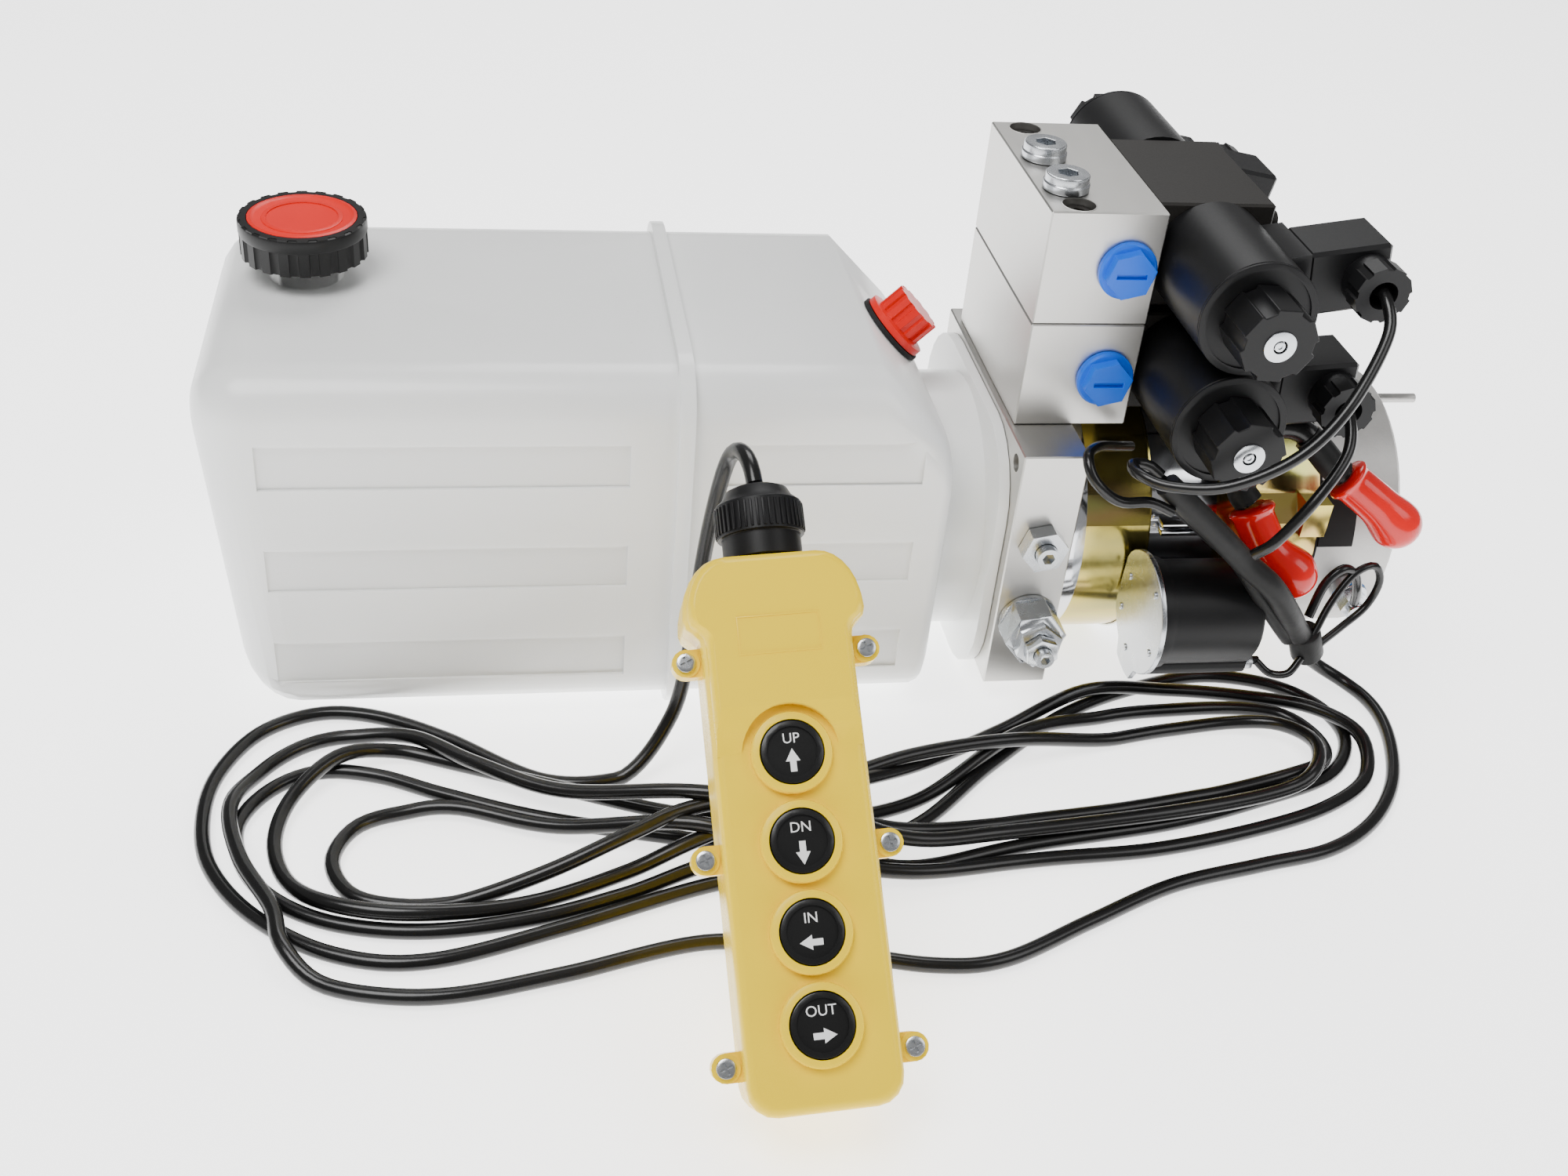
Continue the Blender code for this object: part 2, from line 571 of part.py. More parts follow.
def add_manifold(shop, looks):
    """The centre manifold, the two valve blocks and everything screwed into them."""
    low, high = zip(MANIFOLD_X, MANIFOLD_Y, MANIFOLD_Z)
    manifold = shop.add("centre_manifold", slab(low, high, 0.6), looks["block_aluminium"])
    shaft_bore = shop.add("shaft_bore", rod(10.0, -6, 40, 24), None, along((0, 0, AXIS_Z), (1, 0, 0)))
    mounting_hole = shop.add("mounting_hole", rod(4.0, -6, 40, 16), None, along((0, -66.8, 123.0), (1, 0, 0)))
    front = MANIFOLD_Y[0]
    relief = along((RELIEF_AT[0], front, RELIEF_AT[1]), (0, -1, 0))
    check = along((CHECK_AT[0], front, CHECK_AT[1]), (0, -1, 0))
    relief_bore = shop.add("relief_bore", rod(5.3, -25, 4, 24), None, relief)
    check_bore = shop.add("check_bore", rod(9.3, -30, 4, 24), None, check)
    shop.cut(manifold, shaft_bore, mounting_hole, relief_bore, check_bore)

    for name, (low_z, high_z) in (("lower_valve_block", LOWER_BLOCK_Z), ("upper_valve_block", UPPER_BLOCK_Z)):
        block = shop.add(
            name, slab((BLOCK_X[0], -BLOCK_HALF_DEPTH, low_z), (BLOCK_X[1], BLOCK_HALF_DEPTH, high_z), 0.6),
            looks["block_aluminium"],
        )
        level = VALVE_Z[name.split("_")[0]]
        port = along((PORT_X, -BLOCK_HALF_DEPTH, level), (0, -1, 0))
        bores = [shop.add(name + "_port", rod(9.0, -16, 4, 24), None, port)]
        bores += [
            shop.add(
                f"{name}_bolt_{number}", rod(4.5, low_z - 4, high_z + 4, 16), None,
                along((BOLT_X, y, 0), (0, 0, 1)),
            )
            for number, y in enumerate(BOLT_Y)
        ]
        if high_z == UPPER_BLOCK_Z[1]:
            for number, y in enumerate(BOLT_Y):
                counterbore = rod(7.0, high_z - 9, high_z + 4, 32)
                place = along((BOLT_X, y, 0), (0, 0, 1))
                bores.append(shop.add(f"counterbore_{number}", counterbore, None, place))
            for number, y in enumerate(GAUGE_PLUG_Y):
                place = along((GAUGE_PLUG_X, y, 0), (0, 0, 1))
                bore = rod(6.6, high_z - 14, high_z + 4, 24)
                bores.append(shop.add(f"gauge_bore_{number}", bore, None, place))
        shop.cut(block, *bores)
        add_port_plug(shop, looks, "port_plug_" + name.split("_")[0], port)

    for name, y in zip(("gauge_plug_front", "gauge_plug_rear"), GAUGE_PLUG_Y):
        place = along((GAUGE_PLUG_X, y, UPPER_BLOCK_Z[1]), (0, 0, 1))
        profile = [
            (0, -11), (6.2, -11), (6.2, 0.3), (9.8, 0.3), (9.8, 3.4), (9.2, 3.7), (9.2, 6.6), (8.6, 7.2),
            (0, 7.2),
        ]
        plug = shop.add(name, turned(profile, 32), looks["zinc_steel"], place)
        shop.cut(plug, shop.add(name + "_socket", prism(hexagon(8.0, 0.3), 1.5, 9), None, place))

    screw = shop.add("relief_adjuster", rod(4.9, -20, 12.5, 24), looks["zinc_steel"], relief)
    shop.cut(screw, shop.add("relief_socket", prism(hexagon(5.0), 8.5, 14), None, relief))
    nut = shop.add("relief_lock_nut", prism(hexagon(18.0, 0.2), GAP, 8.0), looks["zinc_steel"], relief)
    shop.cut(nut, shop.add("relief_nut_bore", rod(5.2, -2, 10, 24), None, relief))

    seat = [(0, -26), (9.0, -26), (9.0, 0.3), (13.5, 0.3), (13.5, 2.3), (0, 2.3)]
    body = shop.add("check_valve_body", turned(seat, 32), looks["zinc_steel"], check)
    big_hex = shop.add("check_big_hex", prism(hexagon(24.0, 0.15), 2, 15.5), None, check)
    small_hex = shop.add("check_small_hex", prism(hexagon(18.5, 0.4), 15, 21.5), None, check)
    shop.join(body, big_hex, small_hex)
    shop.cut(body, shop.add("check_stud_bore", rod(4.3, 4, 24, 24), None, check))
    stud = shop.add("check_adjuster", rod(4.0, 6, 31.0, 24), looks["zinc_steel"], check)
    shop.cut(stud, shop.add("check_socket", prism(hexagon(4.0), 27, 33), None, check))


def add_port_plug(shop, looks, name, place):
    """A blue hexagon plug with a slot across it."""
    profile = [(0, -12), (8.6, -12), (8.6, 0.3), (12.4, 0.3), (12.4, 2.6), (11.6, 3.4), (0, 3.4)]
    plug = shop.add(name, turned(profile, 32), looks["port_blue"], place)
    shop.join(plug, shop.add(name + "_head", prism(hexagon(18.5, 0.25), 3, 8.0), None, place))
    shop.cut(plug, shop.add(name + "_slot", slab((-6.5, -1.1, 6.2), (6.5, 1.1, 10)), None, place))


def add_valve(shop, looks, level):
    """One solenoid valve: body, spool, and a coil, nut and connector at each end."""
    height = VALVE_Z[level]
    spool_place = along((VALVE_X, 0, height), (0, 1, 0))
    body = shop.add(
        level + "_valve_body",
        slab(
            (VALVE_BODY_X[0], -VALVE_BODY_HALF_LENGTH, height - VALVE_BODY_HALF_HEIGHT),
            (VALVE_BODY_X[1], VALVE_BODY_HALF_LENGTH, height + VALVE_BODY_HALF_HEIGHT), 1.0,
        ),
        looks["valve_black"],
    )
    bore = shop.add(level + "_spool_bore", rod(SPOOL_RADIUS + 0.4, -50, 50, 24), None, spool_place)
    shop.cut(body, bore)
    half = [
        (SPOOL_RADIUS, 4), (SPOOL_RADIUS, 14), (3.6, 15), (3.6, 22), (SPOOL_RADIUS, 23), (SPOOL_RADIUS, 31),
        (2.4, 32), (2.4, NUT_END - 1.2),
    ]
    end = half[-1][1]
    profile = [(0, end), *reversed(half), *((r, -h) for r, h in half), (0, -end)]
    shop.add(level + "_spool", turned(profile, 16), looks["gear_steel"], spool_place)
    for side, end in ((-1, "front"), (1, "rear")):
        add_coil(shop, looks, level, side, end)


def add_coil(shop, looks, level, side, end):
    """One coil with its nut and its plug connector, which leans a little out of level."""
    name = f"{level}_{end}"
    height = VALVE_Z[level]
    tilt = math.radians(CONNECTOR_TILT[level, side])
    out = Vector((math.cos(tilt), 0, math.sin(tilt)))
    away = Vector((0, side, 0))
    place = frame_of(out, away.cross(out), away, (VALVE_X, 0, height))
    start = VALVE_BODY_HALF_LENGTH + GAP
    shell = [
        (SPOOL_RADIUS, start), (COIL_RADIUS, start), (COIL_RADIUS, COIL_END - 1), (COIL_RADIUS - 1, COIL_END),
        (SPOOL_RADIUS, COIL_END),
    ]
    coil = shop.add(name + "_coil", turned(shell, 40, closed=True), looks["coil_black"], place)
    seat = slab((16, -15, CONNECTOR_Y[0] - 2), (CONNECTOR_REACH[0] - GAP, 15, CONNECTOR_Y[1] + 2))
    shop.join(coil, shop.add(name + "_coil_seat", seat, None, place))
    nut = shop.add(
        name + "_coil_nut", prism(fluted(16.0, 14.4, 6, 0.6), COIL_END + GAP, NUT_END),
        looks["coil_black"], place,
    )
    shop.cut(nut, shop.add(name + "_nut_bore", rod(3.0, COIL_END - 3, NUT_END + 3, 16), None, place))

    box = slab((CONNECTOR_REACH[0], -14, CONNECTOR_Y[0]), (CONNECTOR_REACH[1], 14, CONNECTOR_Y[1]), 1.5)
    connector = shop.add(name + "_connector", box, looks["coil_black"], place)
    gland_place = place @ Matrix.Translation(millimetres(GLAND_REACH - 1.5, 0, 0))
    barrel = shop.add(name + "_barrel", rod(11.0, CONNECTOR_Y[1] - 4, 81, 24), None, gland_place)
    gland = shop.add(name + "_gland", prism(fluted(12.0, 11.0, 8, 0.6), 80, 90), None, gland_place)
    shop.join(connector, barrel, gland)
    shop.cut(connector, shop.add(name + "_gland_bore", rod(6.0, 78, 94, 24), None, gland_place))


def gland_mouth(level, side, depth):
    """A point on the axis of a connector's gland, at a distance from the valve's middle."""
    tilt = math.radians(CONNECTOR_TILT[level, side])
    reach = GLAND_REACH - 1.5
    return (VALVE_X + reach * math.cos(tilt), side * depth, VALVE_Z[level] + reach * math.sin(tilt))


def add_motor(shop, looks):
    """The motor's housing, end cap, armature, through stud and ground terminal."""
    axis = along((0, 0, AXIS_Z), (1, 0, 0))
    wall = [
        (9.5, MOTOR_START), (MOTOR_RADIUS, MOTOR_START), (MOTOR_RADIUS, HOUSING_END), (56, HOUSING_END),
        (56, 36), (9.5, 36),
    ]
    housing = shop.add("motor_housing", turned(wall, 56, closed=True), looks["yellow_zinc"], axis)
    shop.join(housing, shop.add("terminal_grommet", slab((151.0 - 12, -66.5, 82), (150.9, -52, 99)), None))
    cap = [
        (0, MOTOR_END), (MOTOR_RADIUS - 2, MOTOR_END), (MOTOR_RADIUS, MOTOR_END - 2),
        (MOTOR_RADIUS, HOUSING_END + GAP),
        (56, HOUSING_END + GAP), (56, MOTOR_END - 6), (0, MOTOR_END - 6),
    ]
    end_cap = shop.add("motor_end_cap", turned(cap[::-1], 56), looks["cast_aluminium"], axis)
    stud_y, stud_z, stud_end = THROUGH_STUD
    stud = shop.add(
        "through_stud", rod(2.2, MOTOR_END - 3, stud_end, 12), None, along((0, stud_y, stud_z), (1, 0, 0)),
    )
    shop.join(end_cap, stud)
    shaft = [
        (0, 182), (SHAFT_RADIUS, 182), (SHAFT_RADIUS, 152), (20, 151), (20, 136), (48, 134), (48, 60),
        (SHAFT_RADIUS, 58),
        (SHAFT_RADIUS, 5.4), (0, 5.4),
    ]
    shop.add("motor_armature", turned(shaft, 32), looks["iron_core"], axis)
    ground_x, ground_z = GROUND_AT
    radial = Vector((0, -math.sqrt(MOTOR_RADIUS ** 2 - (ground_z - AXIS_Z) ** 2), ground_z - AXIS_Z))
    ground = along((ground_x, radial.y, ground_z), radial)
    profile = [(0, 0.5), (7.5, 0.5), (7.5, 5.0), (4.0, 5.2), (4.0, 17.5), (0, 17.5)]
    terminal = shop.add("ground_terminal", turned(profile, 20), looks["zinc_steel"], ground)
    shop.join(terminal, shop.add("ground_nut", prism(hexagon(12.0, 0.3), 6.5, 14.5), None, ground))


def add_contactor(shop, looks):
    """The contactor under its strap, with its plate, plunger, power stud and coil stud."""
    strap = ring(MOTOR_RADIUS + 0.3, MOTOR_RADIUS + 1.0, *STRAP_X, 56)
    shop.add("contactor_strap", strap, looks["bright_chrome"], along((0, 0, AXIS_Z), (1, 0, 0)))
    y, z = CONTACTOR_AT
    place = along((0, y, z), (1, 0, 0))
    start, end = CONTACTOR_X
    shell = [
        (0, start), (24.9, start), (24.9, start + 5), (CONTACTOR_RADIUS, start + 7),
        (CONTACTOR_RADIUS, end - 2),
        (CONTACTOR_RADIUS - 2, end), (0, end),
    ]
    body = shop.add("contactor_body", turned(shell, 36), looks["coil_black"], place)
    rib_place = along((0, y - 8, z - 23), (1, 0, 0))
    rib = shop.add("contactor_rib", rod(5.0, start + 3, end + 1, 16), None, rib_place)
    rib_stud = shop.add("contactor_rib_stud", rod(2.0, end - 3, end + 9, 12), None, rib_place)
    power = shop.add(
        "contactor_power_stud", rod(4.0, end - 4, end + 8, 16), None, along((0, *POWER_STUD_AT), (1, 0, 0)),
    )
    shop.join(body, rib, rib_stud, power)
    shop.cut(body, shop.add("plunger_bore", rod(5.6, start - 3, end - 14, 24), None, place))
    shop.add(
        "contactor_plate", prism(plate_outline(), 0, 2.4), looks["zinc_steel"],
        frame_of((0, 1, 0), (0, 0, 1), (1, 0, 0), (start - 2.7, y, z)),
    )
    shop.add("contactor_plunger", rod(5.1, start + 0.6, end - 18, 20), looks["gear_steel"], place)


def plate_outline():
    """A round plate with a wider foot and a small ear on top."""
    corners = []
    for step in range(36):
        angle = math.radians(step * 10)
        reach = 34.0 if 260 <= step * 10 <= 290 else 28.0
        reach = min(reach, 24.6 / max(math.cos(angle - math.radians(4)), 0.1))
        corners.append((reach * math.cos(angle), reach * math.sin(angle)))
    return corners


def add_boot(shop, looks, name, ends):
    """A soft terminal boot: a ball over the stud and a neck round the cable."""
    ball, mouth = ends
    direction = mouth - ball
    length = direction.length
    place = along(ball, direction)
    profile = [(0, -11)]
    for step in range(1, 7):
        angle = math.radians(-90 + step * 22)
        profile.append((11 * math.cos(angle), 11 * math.sin(angle)))
    profile += [(9.6, length - 6), (10.2, length - 1), (9.4, length), (0, length)]
    shop.add(name, turned(profile, 20), looks["boot_red"], place)


def add_cables(shop, looks):
    """The link cable, the valve leads with their sleeve, and the pendant's cord."""
    motor_end = MOTOR_BOOT[1]
    contactor_end = CONTACTOR_BOOT[1]
    motor_out = (MOTOR_BOOT[1] - MOTOR_BOOT[0]).normalized()
    contactor_out = (CONTACTOR_BOOT[1] - CONTACTOR_BOOT[0]).normalized()
    route = [
        contactor_end + contactor_out * 1.5, contactor_end + contactor_out * 8, Vector((109, -57, 121)),
        Vector((118, -53, 131)), Vector((131, -57, 132)), motor_end + motor_out * 9,
        motor_end + motor_out * 1.5,
    ]
    shop.tube("power_link_cable", smooth_curve(route, 16), LINK_RADIUS, looks["cable_black"])
    sleeve = [
        (51.0, -103.5, 134.5), (62.0, -105.0, 125.0), (78.0, -106.0, 111.0), (93.0, -106.5, 97.0),
        (107.0, -110.0, 86.0), (120.0, -107.5, 70.0), (131.0, -100.0, 55.0), (137.5, -97.0, 47.5),
    ]
    shop.tube("harness_sleeve", smooth_curve(sleeve, 14), SLEEVE_RADIUS, looks["sleeve_black"])
    upper = [
        gland_mouth("upper", -1, 82.5), gland_mouth("upper", -1, 92), (128.0, -104.0, 203.0),
        (110.0, -122.0, 181.0),
        (90.0, -130.0, 163.0), (66.0, -127.0, 148.0), (46.0, -117.0, 142.0), (36.0, -107.0, 142.0),
        (36.0, -99.5, 142.0), (43.0, -99.0, 141.0), (48.5, -101.5, 137.5),
    ]
    shop.tube("upper_front_lead", smooth_curve(upper, 26), LEAD_RADIUS, looks["cable_black"])
    lower = [
        gland_mouth("lower", -1, 82.5), gland_mouth("lower", -1, 91.0), (126.0, -105.0, 150.0),
        (112.0, -116.0, 135.0),
        (98.0, -119.0, 116.0), (91.0, -116.0, 107.0),
    ]
    shop.tube("lower_front_lead", smooth_curve(lower, 16), LEAD_RADIUS, looks["cable_black"])
    rear = [
        gland_mouth("upper", 1, 82.5), gland_mouth("upper", 1, 92.0), (133.0, 104.0, 176.0),
        (120.0, 108.0, 150.0),
        (92.0, 108.0, 126.0), (62.0, 96.0, 120.0), (44.0, 64.0, 121.0), (38.0, 30.0, 126.2),
    ]
    shop.tube("rear_lead", smooth_curve(rear, 26), LEAD_RADIUS, looks["cable_black"])
    riser = smooth_curve(CORD_ROUTE[:CORD_RISER], CORD_RISER_POINTS)
    laid = smooth_curve(CORD_ROUTE[CORD_RISER - 1:], CORD_FLOOR_POINTS)
    shop.tube("pendant_cord", riser + laid[1:], CORD_RADIUS, looks["cable_black"])


def add_pendant(shop, looks):
    """The leaning pendant: two shells, a gland and four buttons that press in along its face."""
    place = pendant_place()
    inner = pendant_outline(SHELL_WALL)
    front_edge = [(PANEL_LEVEL - drop, inset) for drop, inset in SHELL_EDGE]
    back_edge = [(BACK_LEVEL + drop, inset) for drop, inset in reversed(SHELL_EDGE)]
    back = shop.add(
        "pendant_back", shell_skin([*back_edge, (SPLIT_LEVEL - GAP, 0.0)]), looks["pendant_yellow"], place,
    )
    back_hollow = prism(inner, BACK_LEVEL + SHELL_WALL, SPLIT_LEVEL + 3)
    shop.cut(back, shop.add("back_hollow", back_hollow, None, place))
    ears = []
    for number, v in enumerate(EAR_ROWS):
        for side in (-1, 1):
            outline = [(side * EAR_OFFSET + x, v + y) for x, y in polygon(5.0, 16)]
            ear = prism(outline, SPLIT_LEVEL, SPLIT_LEVEL + 8)
            ears.append(shop.add(f"ear_{number}_{side + 1}", ear, None, place))
            low_x, high_x = sorted((side * 24, side * EAR_OFFSET))
            bridge = slab((low_x, v - 5, SPLIT_LEVEL), (high_x, v + 5, SPLIT_LEVEL + 7))
            ears.append(shop.add(f"ear_bridge_{number}_{side + 1}", bridge, None, place))
    front = shop.add(
        "pendant_front", shell_skin([(SPLIT_LEVEL, 0.0), *front_edge]), looks["pendant_yellow"], place,
    )
    head = shop.add("head_rise", head_skin(), None, place)
    shop.cut(head, shop.add("head_bay", rod(17.0, PANEL_LEVEL - 5, HEAD_LEVEL + 3, 40), None, place))
    collars = [
        shop.add(f"collar_{i}", rod(14.2, PANEL_LEVEL - 1, -0.6, 32), None, button_place(i)) for i in range(4)
    ]
    shop.join(front, head, *collars, *ears)
    hollow = shop.add("front_hollow", prism(inner, SPLIT_LEVEL - 3, PANEL_LEVEL - SHELL_WALL), None, place)
    holes = [
        shop.add(f"button_hole_{i}", rod(BUTTON_RADIUS + 0.4, -9, 5, 28), None, button_place(i))
        for i in range(4)
    ]
    shop.cut(front, hollow, *holes)
    for number, name in enumerate(("up", "down", "in", "out")):
        cap = rod(BUTTON_RADIUS, -13, 0.4, 28)
        shop.add(name + "_button", cap, looks["button_black"], button_place(number))
    gland = place @ along((0, 0, GLAND_LEVEL), (0, 1, 0))
    profile = [
        (CORD_RADIUS + 0.3, PENDANT_TOP + GAP), (14.5, PENDANT_TOP + GAP), (14.5, 81), (16.0, 81), (16.0, 93),
        (13.0, 95.5), (11.5, 98.5), (8.0, GLAND_END), (CORD_RADIUS + 0.3, GLAND_END),
    ]
    shop.add("pendant_gland", turned(profile, 28, closed=True), looks["coil_black"], gland)


def pendant_place():
    """The pendant's own frame: X across its face, Y up its length, Z out of its face, at the first button."""
    rise, turn, roll = (math.radians(angle) for angle in (PENDANT_RISE, PENDANT_TURN, PENDANT_ROLL))
    length = Vector((math.sin(turn) * math.cos(rise), math.cos(turn) * math.cos(rise), math.sin(rise)))
    across = Vector((math.cos(turn), -math.sin(turn), 0))
    face = across.cross(length)
    across = math.cos(roll) * across + math.sin(roll) * face
    return frame_of(across, length, across.cross(length), PENDANT_AT)


def button_place(number):
    """A button's own frame, on the line of buttons down the pendant."""
    return pendant_place() @ Matrix.Translation(millimetres(0, -BUTTON_PITCH * number, 0))


def pendant_outline(inset):
    """The pendant's plan: a broad round head, a waist and a long grip with round corners."""
    half, corner = PENDANT_HALF_WIDTH - inset, GRIP_CORNER - inset * 0.5
    foot = PENDANT_BOTTOM + inset + corner
    side = []
    for step in range(5):
        angle = math.pi / 2 * step / 4
        side.append((half - corner + corner * math.sin(angle), foot - corner * math.cos(angle)))
    side += [(half, 39.0), (half + 0.5, 42.5), (half + 2.2, 44.8), (half + 4.8, 47.0)]
    for step in range(8):
        angle = math.pi / 2 * step / 7
        across = HEAD_TOP_HALF + (HEAD_HALF_WIDTH - HEAD_TOP_HALF - inset) * math.cos(angle)
        side.append((across, 50.0 + (PENDANT_TOP - inset - 50.0) * math.sin(angle)))
    return side + [(-x, y) for x, y in reversed(side)]


def shell_skin(levels):
    """A pendant shell through plans at several levels, each drawn in by its own inset."""
    return lofted([[(x, y, level) for x, y in pendant_outline(inset)] for level, inset in levels])


def head_skin():
    """The raised head, whose lower end slopes down to the panel beside the first button."""
    sections = []
    for level, inset, foot in HEAD_LEVELS:
        right = [(x, y) for x, y in pendant_outline(inset) if x > 0 and y > 0]
        right.insert(0, (PENDANT_HALF_WIDTH - inset, foot))
        sections.append([(x, y, level) for x, y in right + [(-x, y) for x, y in reversed(right)]])
    return lofted(sections)


def main():
    """Build the whole unit."""
    clear_scene()
    looks = make_materials()
    shop = Shop()
    add_tank(shop, looks)
    add_pump(shop, looks)
    add_manifold(shop, looks)
    for level in VALVE_Z:
        add_valve(shop, looks, level)
    add_motor(shop, looks)
    add_contactor(shop, looks)
    add_boot(shop, looks, "motor_boot", MOTOR_BOOT)
    add_boot(shop, looks, "contactor_boot", CONTACTOR_BOOT)
    add_cables(shop, looks)
    add_pendant(shop, looks)


main()
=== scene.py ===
"""Looks of a hydraulic power unit: finishes, cords, fasteners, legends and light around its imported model.

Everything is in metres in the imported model's frame. Lists of places are written in millimetres in the maker's
own frame, whose X counts from the valve blocks' left face and whose Y counts from the motor's axis.
"""

import json
import logging
import math
from dataclasses import dataclass, field
from enum import Enum
from typing import Any, Iterable, Sequence

import bpy
from mathutils import Matrix, Vector

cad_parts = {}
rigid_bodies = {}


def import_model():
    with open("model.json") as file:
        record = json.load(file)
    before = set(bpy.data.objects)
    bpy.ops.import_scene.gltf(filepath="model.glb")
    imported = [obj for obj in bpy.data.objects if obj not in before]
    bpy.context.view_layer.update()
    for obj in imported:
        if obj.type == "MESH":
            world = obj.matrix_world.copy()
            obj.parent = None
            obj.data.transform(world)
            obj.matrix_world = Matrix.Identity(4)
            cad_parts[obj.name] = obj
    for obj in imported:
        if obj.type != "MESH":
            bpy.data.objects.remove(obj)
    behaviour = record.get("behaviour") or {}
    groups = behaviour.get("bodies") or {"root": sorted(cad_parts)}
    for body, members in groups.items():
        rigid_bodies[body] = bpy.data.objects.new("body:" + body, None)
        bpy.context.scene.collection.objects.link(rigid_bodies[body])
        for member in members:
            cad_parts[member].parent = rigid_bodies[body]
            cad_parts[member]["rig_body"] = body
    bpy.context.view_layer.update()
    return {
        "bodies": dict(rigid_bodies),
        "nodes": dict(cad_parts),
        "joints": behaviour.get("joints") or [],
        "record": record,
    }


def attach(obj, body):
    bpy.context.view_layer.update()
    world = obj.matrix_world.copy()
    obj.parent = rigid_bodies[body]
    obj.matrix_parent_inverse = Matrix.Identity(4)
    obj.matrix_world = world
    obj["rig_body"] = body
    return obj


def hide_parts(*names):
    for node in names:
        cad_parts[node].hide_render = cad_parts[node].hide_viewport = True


LOG = logging.getLogger("power_unit")
MM = 0.001
SHIFT = Vector((64.5, 102.0, 0.0))
UNIT = "unit"
WELD = 0.01
FLAT_ANGLE = 0.5
SMOOTH_ANGLE = 35
SHARP_ANGLE = 50
FACE_WEIGHT = 80
FLOOR_LIFT = 3.0
LEAD_POINTS = 60
WIRE_POINTS = 40

Triple = tuple[float, float, float]


class Shape(Enum):
    """How a boolean tool acts on a piece."""

    CUT = "DIFFERENCE"
    JOIN = "UNION"
    KEEP = "INTERSECT"


def at(x: float, y: float, z: float) -> Vector:
    """A point in metres from the maker's millimetres.

    Args:
        x: Millimetres from the valve blocks' left face.
        y: Millimetres from the motor's axis.
        z: Millimetres above the floor.

    Returns:
        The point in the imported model's frame.
    """
    return (Vector((x, y, z)) + SHIFT) * MM


def facing(origin: Vector, axis: Sequence[float], spin: float = 0.0) -> Matrix:
    """A placement whose Z lies on an axis.

    Args:
        origin: The placement's origin in metres.
        axis: The direction of its Z.
        spin: Degrees turned about that axis.

    Returns:
        The placement.
    """
    turn = Vector(axis).normalized().to_track_quat("Z", "Y").to_matrix().to_4x4()
    return Matrix.Translation(origin) @ turn @ Matrix.Rotation(math.radians(spin), 4, "Z")


def axes(x: Vector, y: Vector, z: Vector, origin: Vector) -> Matrix:
    """A placement from its three axes and its origin."""
    return Matrix.Translation(origin) @ Matrix((x, y, z)).transposed().to_4x4()


def lifted(place: Matrix, height: float) -> Matrix:
    """A placement moved along its own Z by millimetres."""
    return place @ Matrix.Translation((0, 0, height * MM))


class Value:
    """A shader socket that takes part in ordinary arithmetic."""

    def __init__(self, tree: "Tree", socket: bpy.types.NodeSocket) -> None:
        """Keep the socket and the tree that it belongs to."""
        self.tree = tree
        self.socket = socket

    def _maths(self, operation: str, *inputs: Any) -> "Value":
        """Add one Math node."""
        return self.tree.node("ShaderNodeMath", {"operation": operation}, dict(enumerate(inputs)))

    def __add__(self, other: Any) -> "Value":
        """The sum."""
        return self._maths("ADD", self, other)

    __radd__ = __add__

    def __mul__(self, other: Any) -> "Value":
        """The product."""
        return self._maths("MULTIPLY", self, other)

    __rmul__ = __mul__


